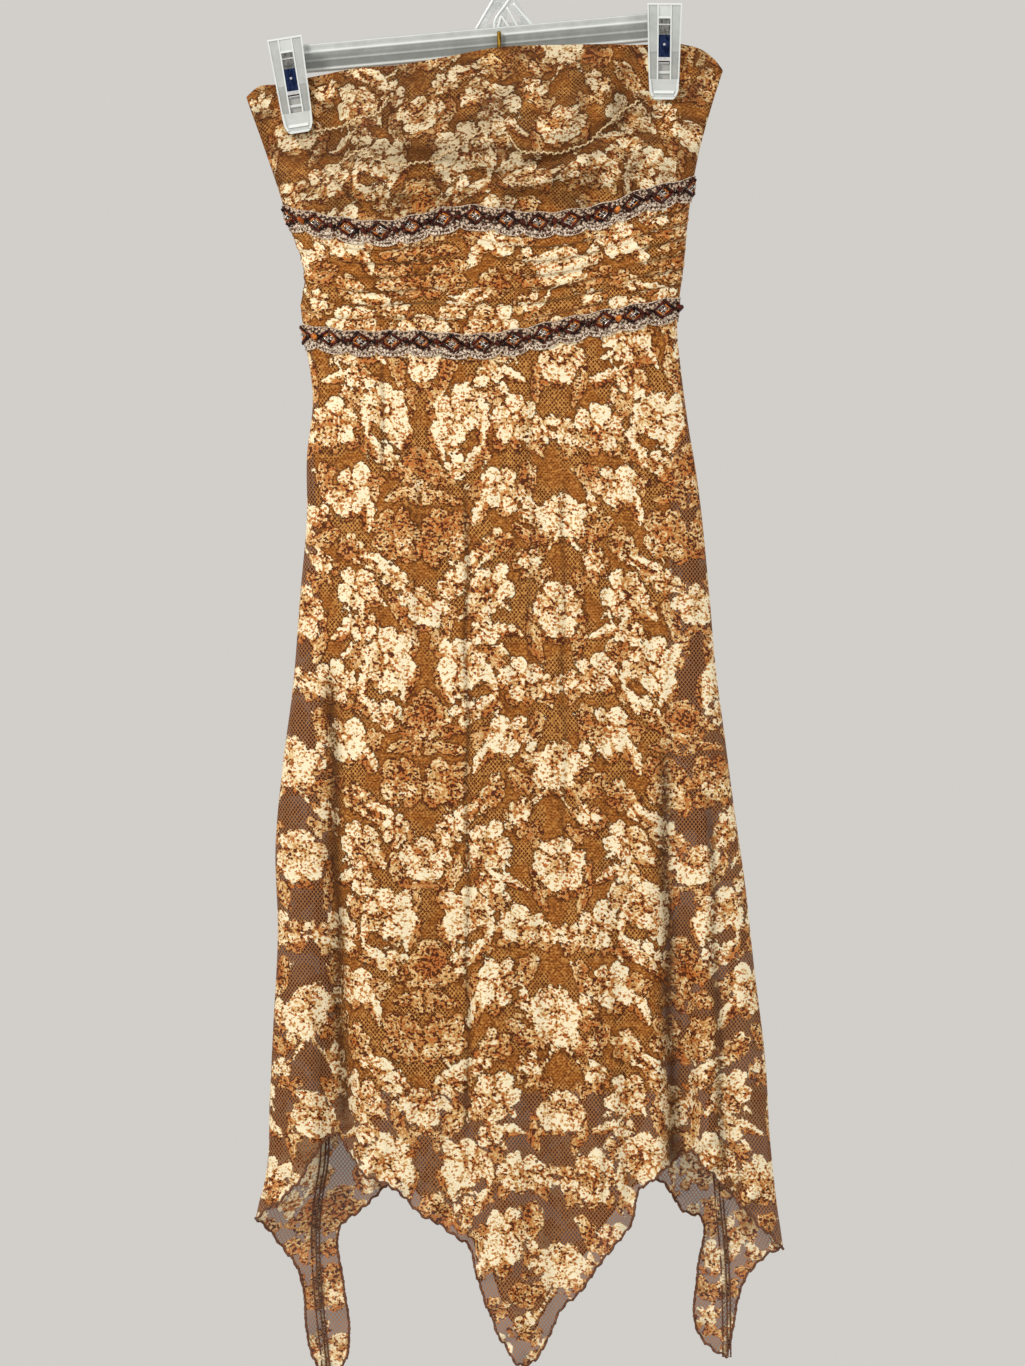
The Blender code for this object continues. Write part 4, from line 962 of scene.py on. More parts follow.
def dense_outline(parts, step):
    """A closed outline of (angle, height), its points a step apart, from parts that meet end to end."""
    made = []
    for part in parts:
        part = np.array(part, float)
        along = lengths_along(part * ANGLE_SCALE)
        places = even_places(along, step)[:-1]
        made.append(np.stack([np.interp(places, along, part[:, k]) for k in (0, 1)], axis=1))
    return np.concatenate(made)


HEM_STEP = 0.0025
SEAM_ROWS = 60
TAIL_ROWS = 12


def hem_line(rows, around):
    """A hem's smooth line as (angle, height), from its rows of (x, z). around is 0 in front, 1 behind and -1
    behind on the left, where the angles are below 0."""
    path = smooth_path(rows, HEM_STEP)
    middle, half = dress_edges(path[:, 1])
    angle = np.arccos(np.clip((middle - path[:, 0]) / half, -1, 1))
    angle = {0: angle, -1: -angle, 1: 2 * math.pi - angle}[around]
    return np.stack([angle, path[:, 1]], axis=1)


def seam_line(tip_angle, tip_z, left, top):
    """A side seam as (angle, height) from the waist down to the tip of the hem's side point."""
    heights = np.linspace(top, SIDE_SEAM_Z_HEM, SEAM_ROWS)
    angles = side_seam(heights, left)
    tail = np.linspace(0, 1, TAIL_ROWS)[1:]
    angles = np.concatenate([angles, angles[-1] + (tip_angle - angles[-1]) * tail])
    heights = np.concatenate([heights, SIDE_SEAM_Z_HEM + (tip_z - SIDE_SEAM_Z_HEM) * tail])
    return np.stack([angles, heights], axis=1)


def wavy(surface, hem, seed):
    """The surface with the hem's short waves. hem is its line, as points in space in order along it."""
    along = lengths_along(hem)
    wander = 0.35 * np.sin(along / 0.047 + seed) + 0.30 * np.sin(along / 0.081 + 2 * seed)
    phase = 2 * math.pi * (along / HEM_WAVE_LENGTH + wander)
    ripple = np.sin(phase) * (0.75 + 0.25 * np.sin(along / 0.06))
    frill = 2 * math.pi * (along / HEM_FRILL_LENGTH + wander)
    flat_hem = hem[:, [0, 2]]

    def waved(angle, z):
        points = surface(angle, z)
        low = points[:, 2] < HEM_ZONE_TOP
        near = points[low]
        best = np.zeros(len(near))
        chosen = np.zeros(len(near), int)
        for k in range(0, len(near), AT_ONCE):
            part = near[k : k + AT_ONCE, [0, 2]]
            far = ((part[:, None, :] - flat_hem[None]) ** 2).sum(2)
            nearest = far.argmin(1)
            best[k : k + AT_ONCE] = np.sqrt(far[np.arange(len(part)), nearest])
            chosen[k : k + AT_ONCE] = nearest
        push = HEM_WAVE_DEPTH * ripple[chosen] * np.exp(-((best / HEM_WAVE_REACH) ** 1.5))
        side = np.where(near[:, 1] < MIDPLANE_Y, 1.0, -1.0)
        points[low, 1] += push * side
        frilled = HEM_FRILL * np.sin(frill[chosen]) * np.exp(-((best / HEM_FRILL_REACH) ** 2))
        points[low, 2] += 0.35 * push + frilled
        return points

    return waved


CREASE_SWAY = 0.0012
CREASE_FADE = 0.12
Crease = namedtuple("Crease", "x_top z_top x_low z_low half_width depth dark")
# dark is how much a crease darkens the lace: painted crease shade, and in the deep folds also the lace lying
# in two layers.
SKIRT_CREASES = named_rows(Crease, (
    (-0.1003, -0.262, -0.1000, -0.357, 0.0019, 0.0020, 0.7),
    (-0.0280, -0.330, -0.0266, -0.965, 0.0020, 0.0026, 0.8),
    (0.0266, -0.254, 0.0270, -0.554, 0.0017, 0.0014, 0.4),
    (0.0549, -0.360, 0.0560, -0.725, 0.0018, 0.0016, 0.5),
    (-0.0690, -0.300, -0.0720, -0.520, 0.0017, 0.0012, 0.35),
    (-0.1440, -0.510, -0.1330, -0.945, 0.0052, 0.0034, 1.0),
    (0.1400, -0.580, 0.1500, -0.985, 0.0056, 0.0034, 1.0),
    (0.1800, -0.620, 0.1930, -0.980, 0.0034, 0.0024, 0.8),
    (0.0860, -0.700, 0.0900, -1.000, 0.0018, 0.0014, 0.4),
))


def crease_shares(x, z):
    """For each crease of the skirt's front, how near it points lie, from 0 to 1, with its ends fading."""
    for crease in SKIRT_CREASES:
        t = (crease.z_top - z) / (crease.z_top - crease.z_low)
        sway = CREASE_SWAY * np.sin(z / 0.021 + crease.x_top * 90)
        centre = crease.x_top + (crease.x_low - crease.x_top) * t + sway
        ends = soft_step(t / CREASE_FADE) * soft_step((1 - t) / CREASE_FADE)
        yield crease, np.exp(-(((x - centre) / crease.half_width) ** 2)) * ends


def slip_behind(x, z):
    """1 where the slip backs the lace, and 0 outside its edges and below its hem."""
    heights = np.linspace(WAIST_FRONT[-1].z, SLIP_HEM_Z, SEAM_ROWS)
    left, right = (slip_surface(np.full(SEAM_ROWS, edge), heights)[:, 0] for edge in (0.01, math.pi - 0.01))
    inside_left = x - np.interp(-z, -heights, left)
    inside_right = np.interp(-z, -heights, right) - x
    nearest = np.minimum(np.minimum(inside_left, inside_right), z - SLIP_HEM_Z)
    return soft_step(nearest / 0.003 + 0.5)


RIPPLE_RISE = 0.0009
RIPPLE_WIDTH = 0.021


def fine_skirt(angle, z):
    """The skirt's surface with the small creases of limp lace over its folds."""
    points = skirt_surface(angle, z)
    for crease, share in crease_shares(points[..., 0], z):
        points[..., 1] += np.where(np.sin(angle) > 0, crease.depth * share, 0.0)
    x = points[..., 0]
    reach = tube(angle, z)[1]
    down = soft_step((-0.27 - z) / 0.10)
    wander = 2.5 * np.sin(z / 0.13) + 1.7 * np.sin(z / 0.31 + x / 0.05)
    rise = RIPPLE_RISE * np.sin(2 * math.pi * x / RIPPLE_WIDTH + wander)
    rise += 0.0007 * soft_noise(x * 2.6, z * 0.5, 0.05, 11)
    points[..., 1] += reach * rise * down
    return points


def cut_panel(name, outline, origin, look, seed, hem_parts):
    """A skirt panel as one sheet, cut along its outline and dressed in lace."""
    (least, low), (most, high) = outline.min(0), outline.max(0)
    table = cloth_table(fine_skirt, least - 0.02, most + 0.02, origin, low - 0.01, WAIST_FRONT[0].z + 0.04)
    span = np.linspace(least, most, 4000)
    across = table(span, np.full(len(span), COLUMNS_EVEN_AT))
    columns = np.interp(np.arange(across[0], across[-1], CLOTH_STEP), across, span)
    inner = inner_points(outline, columns, np.arange(low, high, CLOTH_STEP), 0.45 * CLOTH_STEP, 0.006)
    flat = np.concatenate([outline, inner]) * ANGLE_SCALE
    count = len(outline)
    loop = [(k, (k + 1) % count) for k in range(count)]
    corners = [Vector(p) for p in flat.tolist()]
    points, _, faces, _, _, _ = geometry.delaunay_2d_cdt(corners, loop, [range(count)], 1, 1e-7)
    domain = np.array([(p.x / ANGLE_SCALE[0], p.y) for p in points])
    corner = np.array(faces)
    a, b, c = (domain[corner[:, k]] for k in range(3))
    turn = (b[:, 0] - a[:, 0]) * (c[:, 1] - a[:, 1]) - (b[:, 1] - a[:, 1]) * (c[:, 0] - a[:, 0])
    corner[turn < 0] = corner[turn < 0][:, ::-1]
    hem = np.concatenate([fine_skirt(part[:, 0], part[:, 1]) for part in hem_parts])
    surface = wavy(fine_skirt, hem, seed)
    made = new_object(name, surface(domain[:, 0], domain[:, 1]), corner.tolist(), [look])
    angle, z = domain.T
    x = skirt_surface(angle, z)[:, 0]
    # Painted shade along the creases of the skirt's front.
    dark = np.max([crease.dark * share for crease, share in crease_shares(x, z)], axis=0)
    dress_in_lace(made, table(angle, z), z, dark * (np.sin(angle) > 0), slip_behind(x, z))
    edging = surface(*np.concatenate(hem_parts).T)
    return made, edging


def tube_along(name, path, radius, look, sides=6, twist=0.0):
    """A round cord through points in space. A twist makes its thickness wave, like thread over an edge."""
    path = np.asarray(path, float)
    ahead = np.gradient(path, axis=0)
    ahead /= np.linalg.norm(ahead, axis=1, keepdims=True).clip(1e-9)
    side = np.cross(ahead, (0.0, 1.0, 0.0))
    side /= np.linalg.norm(side, axis=1, keepdims=True).clip(1e-9)
    up = np.cross(side, ahead)
    turns = np.linspace(0, 2 * math.pi, sides, endpoint=False)
    swell = 1 + twist * np.where(np.arange(len(path)) % 2, 1.0, -1.0)
    thick = (radius * swell)[:, None]
    rings = [path + thick * (math.cos(turn) * side + math.sin(turn) * up) for turn in turns]
    points = np.stack(rings, axis=1).reshape(-1, 3)
    faces = ring_faces(sides, len(path)) + ring_ends(sides, len(path))
    return new_object(name, points, faces, [look])


TOP_COLUMNS = 200


def make_skirt(lace, thread, rung_thread):
    left_far, front = hem_line(HEM_FAR_LEFT, -1), hem_line(HEM_FRONT, 0)
    right_far, back = hem_line(HEM_FAR_RIGHT, 1), hem_line(HEM_BACK, 1)
    tops = [float(waist(np.array([angle]))[0]) for angle in (0.0, math.pi)]
    left_seam = seam_line(left_far[0, 0] + FULL_TURN, left_far[0, 1], True, tops[0])
    right_seam = seam_line(right_far[-1, 0], right_far[-1, 1], False, tops[1])
    left_in_front = left_seam - (FULL_TURN, 0)
    sides = (
        ("front", left_in_front, [left_far, front, right_far], right_seam, math.pi / 2, 1.0, (0.56, 0.90)),
        ("back", right_seam, [back], left_seam, 1.5 * math.pi, 2.6, (0.44, 0.90)),
    )
    for side, first, hem, last, origin, seed, flat in sides:
        along_top = np.linspace(last[0, 0], first[0, 0], TOP_COLUMNS)
        along_top = np.stack([along_top, waist(along_top)], axis=1)
        outline = dense_outline([first, *hem, last[::-1], along_top], CLOTH_STEP)
        made, edging = cut_panel(f"skirt_{side}_lace", outline, origin, lace, seed, hem)
        shown_as(made, [f"skirt_{side}"])
        area_of(made)
        edge = tube_along(f"hem_edging_{side}", edging, EDGING_RADIUS, thread, 6, EDGING_TWIST)
        shown_as(edge, [])

    for name, seam in (("left", left_seam), ("right", right_seam)):
        low = seam[seam[:, 1] < SEAM_SHOWN_FROM]
        seam_strip(f"side_seam_{name}", dense_outline([low, low[-1:]], SEAM_STEP), thread, rung_thread)


def seam_strip(name, line, thread, stitches_look):
    """The bound seam allowance inside a side seam: dark cords with a light ladder of stitches between."""
    angle, z = line.T
    centre = skirt_surface(angle, z)
    normal = outward(skirt_surface, angle, z)
    across = np.cross(normal, (0.0, 0.0, 1.0))
    across /= np.linalg.norm(across, axis=1, keepdims=True)
    for part, offset in (("near", -SEAM_HALF_WIDTH), ("middle", 0.0006), ("far", SEAM_HALF_WIDTH)):
        line = centre - normal * SEAM_CORD_INSIDE + across * offset
        shown_as(tube_along(f"{name}_{part}", line, SEAM_CORD_RADIUS, thread, 5, 0.15), [])
    zigzag = np.where(np.arange(len(z)) % 2, 1.0, -1.0) * (SEAM_HALF_WIDTH - RUNG_RADIUS)
    line = centre - normal * RUNG_INSIDE + across * zigzag[:, None]
    shown_as(tube_along(f"{name}_rungs", line, RUNG_RADIUS, stitches_look, 4), [])


SLIP_COLUMNS, SLIP_ROWS = 90, 110
SLIP_FOLD_RISE = 0.0030
SLIP_HEM_RISE = 0.0015


def make_slip(name, nodes, start, look):
    columns, rows = SLIP_COLUMNS, SLIP_ROWS
    angles = start + np.linspace(0.004, math.pi - 0.004, columns)
    top = waist(angles) - 0.0004
    points = []
    for row in range(rows + 1):
        t = row / rows
        z = SLIP_HEM_Z * (1 - t) + top * t
        place = slip_surface(angles, z)
        soft = soft_step(np.sin(angles - start) * 1.5)
        fold = SLIP_FOLD_RISE * np.sin(place[:, 0] / 0.019 + 1.2 * np.sin(z / 0.09))
        fold = fold * soft * soft_step((1 - t) * 1.6)
        place[:, 1] += fold * (1 if start else -1)
        place[:, 2] += SLIP_HEM_RISE * np.sin(place[:, 0] / 0.03) * (1 - t)
        points.append(place)
    made = new_object(name, np.concatenate(points), grid_faces(columns, rows + 1), [look])
    shown_as(made, nodes)
    area_of(made)


FINE_SWAGS = named_rows_in_mm(Swag, (
    (-170, -40, 140, -20, 24, 5, 3), (-150, -30, 130, -12, 16, 3.5, -2.2), (-100, -66, 120, -50, 34, 4, 3),
    (-120, -78, 100, -62, 36, 3.5, -2.6), (-60, -98, 110, -88, 20, 4, 2.6),
    (-176, -74, -118, -130, 0, 2.2, -2.8), (-178, -66, -100, -100, 10, 3, 2.2),
    (60, -100, 150, -50, 6, 3.5, -2.4), (100, -122, 158, -62, 3, 3.5, 2.4), (20, -60, 150, -34, 12, 3, 2),
))


def fine_bodice(angle, z):
    points = bodice_surface(angle, z)
    x = points[..., 0]
    reach = tube(angle, z)[1]
    free = clear_of_trim(z - under_bust(angle)) * soft_step((top_edge(angle) - z) / 0.016)
    front = swag_rise(FINE_SWAGS, x, z, 1.6) + 0.0008 * soft_noise(x, z * 1.6, 0.022, 21)
    back = 0.0010 * soft_noise(x * 0.5, z * 2, 0.03, 22)
    points[..., 1] += reach * np.where(reach < 0, front, back) * free
    deepest = plain(angle, z)[..., 1] + DEEPEST * reach
    points[..., 1] = np.where(reach < 0, np.minimum(points[..., 1], deepest), points[..., 1])
    return points


Drape = namedtuple("Drape", "half_width dark path")
# Bands of the draped lace: dark is how much each darkens it, partly from its second layer and partly painted
# fold shade.
DRAPES = named_rows(Drape, (
    (0.0150, 0.50, ((-0.128, -0.036), (-0.092, -0.030), (-0.056, -0.026), (-0.022, -0.020))),
    (0.0120, 0.45, ((-0.108, -0.060), (-0.084, -0.056), (-0.060, -0.058))),
    (0.0100, 0.75, (
        (-0.168, -0.068), (-0.140, -0.071), (-0.112, -0.066), (-0.092, -0.046), (-0.078, -0.012),
    )),
    (0.0125, 0.85, (
        (-0.155, -0.080), (-0.110, -0.084), (-0.068, -0.086), (-0.038, -0.080), (-0.015, -0.058),
        (0.006, -0.036),
    )),
    (0.0080, 0.80, (
        (-0.026, -0.082), (0.010, -0.086), (0.040, -0.090), (0.070, -0.082), (0.096, -0.060),
        (0.122, -0.038),
    )),
    (0.0170, 0.55, ((0.040, -0.004), (0.060, -0.010), (0.078, -0.016))),
    (0.0100, 0.50, ((-0.066, -0.014), (-0.052, -0.022), (-0.060, -0.040))),
    (0.0016, 1.00, ((-0.176, -0.068), (-0.158, -0.090), (-0.140, -0.110), (-0.118, -0.131))),
    (0.0030, 0.55, ((-0.164, -0.092), (-0.150, -0.108), (-0.136, -0.124))),
    (0.0020, 0.70, ((0.136, -0.046), (0.126, -0.074), (0.112, -0.100), (0.104, -0.118))),
    (0.0024, 0.60, ((0.098, -0.062), (0.082, -0.082), (0.074, -0.106), (0.068, -0.122))),
    (0.0022, 0.60, (
        (-0.094, -0.104), (-0.060, -0.112), (-0.020, -0.116), (0.014, -0.112), (0.048, -0.100),
    )),
))
DRAPE_EDGES = (
    (
        (-0.134, -0.092), (-0.118, -0.084), (-0.104, -0.092), (-0.088, -0.096), (-0.064, -0.094),
        (-0.042, -0.086), (-0.024, -0.074), (-0.008, -0.066), (0.006, -0.070), (0.018, -0.084),
        (0.036, -0.086), (0.060, -0.084), (0.080, -0.074), (0.098, -0.056), (0.120, -0.038),
    ),
    ((-0.160, -0.066), (-0.138, -0.062), (-0.120, -0.056), (-0.102, -0.050), (-0.094, -0.036)),
)


def far_from(path, x, z):
    """How far points lie from a path."""
    ends = smooth_path(path, 0.004)
    nearest = np.full(x.shape, 1.0)
    for (ax, az), (bx, bz) in zip(ends, ends[1:]):
        dx, dz = bx - ax, bz - az
        t = np.clip(((x - ax) * dx + (z - az) * dz) / (dx * dx + dz * dz), 0, 1)
        nearest = np.minimum(nearest, np.hypot(x - ax - dx * t, z - az - dz * t))
    return nearest


def doubled_and_shaded(x, z):
    """How far the draped lace lies in two layers, with painted fold shade, in bands along its swags and in
    narrow dark lines along its darts.
    """
    total = np.zeros_like(x)
    for drape in DRAPES:
        ragged = far_from(drape.path, x, z) + 0.25 * drape.half_width * soft_noise(x, z, 0.018, 31)
        total = np.maximum(total, drape.dark * soft_step(1.5 - ragged / drape.half_width))
    return total


def fine_midriff(angle, z):
    """Soft overlapping gathers, round the edges too."""
    points, reach = tube(angle, z)
    upper, lower = under_bust(angle), waist(angle)
    down = (upper - z) / (upper - lower)
    wander = gather_wander(angle) + 0.5 * soft_noise(points[..., 0], z * 0.3, 0.05, 41)
    phase = GATHER_COUNT * down + wander / (2 * math.pi)
    ridge = np.sin(2 * math.pi * phase + 0.7 * np.sin(2 * math.pi * phase))
    rise = GATHER_RISE * ridge * (0.75 + 0.25 * np.sin(7 * angle + 3 * down))
    rise += 0.0005 * soft_noise(points[..., 0] * 0.6, z * 3, 0.02, 42)
    rise = np.maximum(rise, DEEPEST)
    free = clear_of_trim(upper - z) * clear_of_trim(z - lower)
    normal = outward(plain, angle, z)
    return points + normal * (rise * free * np.minimum(1, 0.5 + np.abs(reach)))[..., None]


BAND_COLUMNS = 250
EDGE_RADIUS = 0.0006
TURNED_IN = 0.0011


def make_band(name, node, start, upper, lower, surface, look, rows, turned_in, gathers):
    """A bodice or midriff panel from one side of the dress to the other, with its top turned in if asked."""
    columns = BAND_COLUMNS
    angles = start + np.linspace(0.002, math.pi - 0.002, columns)
    high, low = upper(angles), lower(angles)
    z = [low * (1 - row / rows) + high * row / rows for row in range(rows + 1)]
    inward = [0.0] * (rows + 1)
    if turned_in:
        for turn in (0.35, 0.7, 1.05, 1.4):
            z.append(high - EDGE_RADIUS * (1 - math.cos(turn)))
            inward.append(TURNED_IN * math.sin(turn))
        for depth in (0.004, 0.009, 0.014):
            z.append(high - depth)
            inward.append(TURNED_IN + 0.0001)
    z = np.array(z)
    grid = np.broadcast_to(angles, z.shape)
    points = surface(grid, z)
    points -= outward(plain, grid, z) * np.array(inward)[:, None, None]
    made = new_object(name, points.reshape(-1, 3), grid_faces(columns, len(z)), [look])
    middle = start + math.pi / 2
    table = cloth_table(plain, angles[0], angles[-1], middle, low.min() - 0.01, high.max() + 0.01)
    across = table(grid, z)
    steps = np.linalg.norm(np.diff(points[:, :, 1:], axis=0), axis=2)
    up = np.concatenate([np.zeros((1, columns)), np.cumsum(steps, axis=0)]) + low[None]
    if gathers:
        down = (high - z) / (high - low)
        phase = GATHER_COUNT * down + gather_wander(grid) / (2 * math.pi)
        hidden = np.floor(phase) + soft_step((phase % 1 - 0.4) / 0.2)
        up = up - gathers * hidden
    else:
        up = 1.15 * up + 0.20 * (points[..., 0] + 0.02) ** 2 / 0.18
    double_and_shade = np.zeros_like(z)
    if turned_in and not start:
        # The bodice's lace lies in two layers in patches, and in bands along its drapes with painted fold
        # shade.
        patchy = 0.42 + 0.40 * soft_noise(points[..., 0], z * 1.6, 0.040, 61)
        double_and_shade = np.maximum(doubled_and_shaded(points[..., 0], z), patchy.clip(0.04, 0.78))
    if gathers:
        # Painted shade in the valleys of the gathers, laid on with the lace's two-layer look.
        gather_valley_shade = np.exp(-(((phase % 1 - 0.52) / 0.075) ** 2))
        double_and_shade = 0.9 * gather_valley_shade * soft_step(0.70 + 1.1 * soft_noise(points[..., 0], z * 0.4, 0.07, 51))
    dress_in_lace(made, across.ravel(), up.ravel(), double_and_shade.ravel())
    shown_as(made, [node])
    return made


def make_drape_edges(look):
    """The looped edges of the draped lace on the bodice."""
    for k, path in enumerate(DRAPE_EDGES):
        line = smooth_path(path, 0.0008)
        step = np.arange(len(line))
        x = line[:, 0] + 0.0007 * np.sin(step * 1.1)
        z = line[:, 1] + 0.0009 * np.sin(step * 0.9) + 0.0007 * np.sin(step * 0.17)
        middle, half = dress_edges(z)
        place = fine_bodice(np.arccos((middle - x) / half), z)
        place[:, 1] -= 0.0004
        shown_as(tube_along(f"drape_edge_{k}", place, 0.00085, look, 5, 0.30), [])


LINING_COLUMNS, LINING_ROWS = 160, 40
LINING_BELOW_EDGE = 0.004


def make_lining(look):
    """The plain lining inside the bodice and midriff, one tube from under the top edge to the waist."""
    columns, rows = LINING_COLUMNS, LINING_ROWS
    angles = np.linspace(0, 2 * math.pi, columns)
    shy = np.clip(angles, 0.002, 2 * math.pi - 0.002)
    high, low = top_edge(shy) - LINING_BELOW_EDGE, waist(shy)
    points = []
    for row in range(rows + 1):
        t = row / rows
        z = low * (1 - t) + high * t
        points.append(plain(shy, z) - LINING_DEPTH * outward(plain, shy, z))
    made = new_object("body_lining", np.concatenate(points), grid_faces(columns, rows + 1), [look])
    shown_as(made, [])
    area_of(made)


# Beaded braids.


FRONT_MOTIFS = 13


class Braid:
    """Places on a braid, given along the seam, up from it and out from the cloth."""

    def __init__(self, seam, motifs):
        self.seam = seam
        self.angles = np.linspace(0.0005, 2 * math.pi - 0.0005, 4001)
        path = plain(self.angles, seam(self.angles))
        self.along = lengths_along(path)
        self.length = self.along[-1]
        front = self.angles < math.pi
        first = np.interp(motifs.x_first, path[front, 0], self.along[front])
        self.count = int(round(self.length / motifs.pitch))
        self.first, self.pitch = first, motifs.pitch
        gaps = FRONT_MOTIFS - 1
        self.rest = (self.length - gaps * motifs.pitch) / (self.count - gaps)

    def centres(self):
        """Along the seam, the middle of each motif: at the measured pitch in front, and evenly behind."""
        front = [self.first + k * self.pitch for k in range(FRONT_MOTIFS)]
        behind = [front[-1] + (k + 1) * self.rest for k in range(self.count - FRONT_MOTIFS)]
        return front + behind

    def point(self, along, up, out):
        along = np.mod(np.asarray(along, float), self.length)
        angle = np.interp(along, self.along, self.angles)
        z = self.seam(angle) + up
        return plain(angle, z) + outward(plain, angle, z) * (TRIM_GAP + np.asarray(out, float))[..., None]


BRAID_TOP = 0.0085
BRAID_LOW = -0.0078
SCALLOP = 0.0050
BRAID_COLUMNS, BRAID_ROWS = 900, 12
PICOT_DEPTH = 0.0005
PICOT_PITCH = 0.0025
DIAMOND_HALF_WIDTH = 0.0092
DIAMOND_HALF_HEIGHT = 0.0070
BUGLE_RADIUS = 0.00125
INNER_SHARE = 0.66
INNER_RADIUS = 0.00065
ROUND_RADIUS = 0.0029
SMALL_RADIUS = 0.0011
SEED_RADIUS = 0.0009


def braid_lace(name, nodes, braid, look):
    centres = np.array(braid.centres())
    samples = np.linspace(0, braid.length, BRAID_COLUMNS)
    wrapped = np.concatenate([centres - braid.length, centres, centres + braid.length])
    gap = np.abs(samples[:, None] - wrapped[None, :]).min(1)
    scallop = SCALLOP * np.sqrt(np.clip(1 - (gap / (braid.pitch / 2)) ** 2, 0, 1))
    low = BRAID_LOW - scallop
    high = BRAID_TOP + 0.0008 * np.cos(2 * math.pi * gap / braid.pitch)
    rows = BRAID_ROWS
    points, edge = [], []
    for row in range(rows + 1):
        t = (row / rows) ** 1.2
        up = low * (1 - t) + high * t
        dome = 0.0006 + 0.0006 * math.sin(math.pi * row / rows)
        points.append(braid.point(samples, up, np.full_like(up, dome)))
        edge.append(1000 * (up - low))
    made = new_object(name, np.concatenate(points), grid_faces(len(samples), rows + 1), [look])
    give(made, "along", np.tile(1000 * samples, rows + 1))
    give(made, "edge", np.concatenate(edge))
    shown_as(made, nodes)
    picot = low - PICOT_DEPTH * np.abs(np.sin(math.pi * samples / PICOT_PITCH))
    for part, up, out, radius in (
        ("picot", picot, 0.0008, 0.00042),
        ("cord", low + 0.0034, 0.0011, 0.00040),
        ("top_cord", high, 0.0008, 0.00045),
    ):
        line = braid.point(samples, up, np.full(len(samples), out))
        shown_as(tube_along(f"{name}_{part}", line, radius, look_of["silver_thread"], 5), [])
    return made


def ball(radius, columns, rows):
    points = [(0, 0, -radius)]
    for row in range(1, rows):
        tilt = math.pi * row / rows
        for column in range(columns):
            turn = 2 * math.pi * column / columns
            ring = radius * math.sin(tilt)
            points.append((ring * math.cos(turn), ring * math.sin(turn), -radius * math.cos(tilt)))
    points.append((0, 0, radius))
    faces = [(0, 1 + (c + 1) % columns, 1 + c) for c in range(columns)]
    faces += ring_faces(columns, rows - 1, 1)
    last = len(points) - 1
    start = 1 + (rows - 2) * columns
    faces += [(last, start + c, start + (c + 1) % columns) for c in range(columns)]
    return np.array(points), faces


def rod(start, end, radius, sides=7):
    """A bugle bead between two points in the braid's own space, its ends drawn in."""
    start, end = np.array(start, float), np.array(end, float)
    ahead = (end - start) / np.linalg.norm(end - start)
    side = np.cross(ahead, (0, 0, 1))
    up = np.cross(side, ahead)
    points = []
    for t, share in ((0, 0.55), (0.06, 1.0), (0.94, 1.0), (1, 0.55)):
        for k in range(sides):
            turn = 2 * math.pi * k / sides
            around = math.cos(turn) * side + math.sin(turn) * up
            points.append(start + (end - start) * t + radius * share * around)
    return np.array(points), ring_faces(sides, 4) + ring_ends(sides, 4)


def braid_beads(name, braid, looks, seed):
    """Diamonds of bugle beads with a small silver cross in each, and round beads between them."""
    chance = np.random.default_rng(seed)
    points, faces, slots = [], [], []
    total = 0

    def add(shape, centre, slot):
        nonlocal total
        local, made = shape
        points.append(local + np.array([centre, 0.0, 0.0]))
        faces.extend([tuple(i + total for i in face) for face in made])
        slots.extend([slot] * len(made))
        total += len(local)

    def bead(centre, x, y, radius, slot, out=None, columns=8, rows=6):
        local, made = ball(radius, columns, rows)
        lift = 0.0010 + radius * 0.8 if out is None else out
        add((local + np.array([x, y, lift]), made), centre, slot)

    dark, silver, amber = 0, 1, 2
    centres = braid.centres()
    for k, centre in enumerate(centres):
        lean = chance.uniform(-0.12, 0.12)
        w = DIAMOND_HALF_WIDTH * chance.uniform(0.92, 1.06)
        h = DIAMOND_HALF_HEIGHT * chance.uniform(0.92, 1.08)
        turn = np.array([[math.cos(lean), -math.sin(lean)], [math.sin(lean), math.cos(lean)]])
        corners = [turn @ p for p in ((-w, 0), (0, h), (w, 0), (0, -h))]
        for j in range(4):
            a, b = corners[j], corners[(j + 1) % 4]
            start, end = a + (b - a) * 0.10, a + (b - a) * 0.90
            add(rod((*start, 0.0024), (*end, 0.0024), BUGLE_RADIUS), centre, dark)
            shift = (b - a) * INNER_SHARE
            start, end = a * INNER_SHARE + shift * 0.14, a * INNER_SHARE + shift * 0.86
            kind = amber if (j + k) % 4 else silver
            add(rod((*start, 0.0021), (*end, 0.0021), INNER_RADIUS, 6), centre, kind)
            bead(centre, *a, BUGLE_RADIUS, dark)
        for x, y in ((-0.0019, -0.0015), (0.0019, 0.0015), (-0.0019, 0.0015), (0.0019, -0.0015)):
            tip = turn @ np.array((x, y))
            add(rod((*(tip * 0.2), 0.0022), (*(tip * 1.3), 0.0022), 0.0006, 5), centre, silver)
        bead(centre, 0, 0, 0.0008, silver, 0.0026)
        after = centres[(k + 1) % len(centres)]
        half = ((after - centre) % braid.length) / 2
        kind = chance.choice([dark, dark, dark, amber])
        bead(centre, half, chance.uniform(-0.001, 0.001), ROUND_RADIUS, kind, None, 12, 8)
        bead(centre, half - 0.0005, 0.0036, SMALL_RADIUS, silver if chance.random() < 0.5 else dark)
        bead(centre, half + 0.0005, -0.0037, SMALL_RADIUS, amber if chance.random() < 0.3 else dark)
        for s in (-1, 1):
            kind = silver if chance.random() < 0.4 else dark
            bead(centre, half + s * 0.0031, s * 0.0012, SEED_RADIUS, kind)
    local = np.concatenate(points)
    placed = braid.point(local[:, 0], local[:, 1], local[:, 2])
    made = new_object(name, placed, faces, looks, slots)
    shown_as(made, [])
    return made


# Hanger and clips.

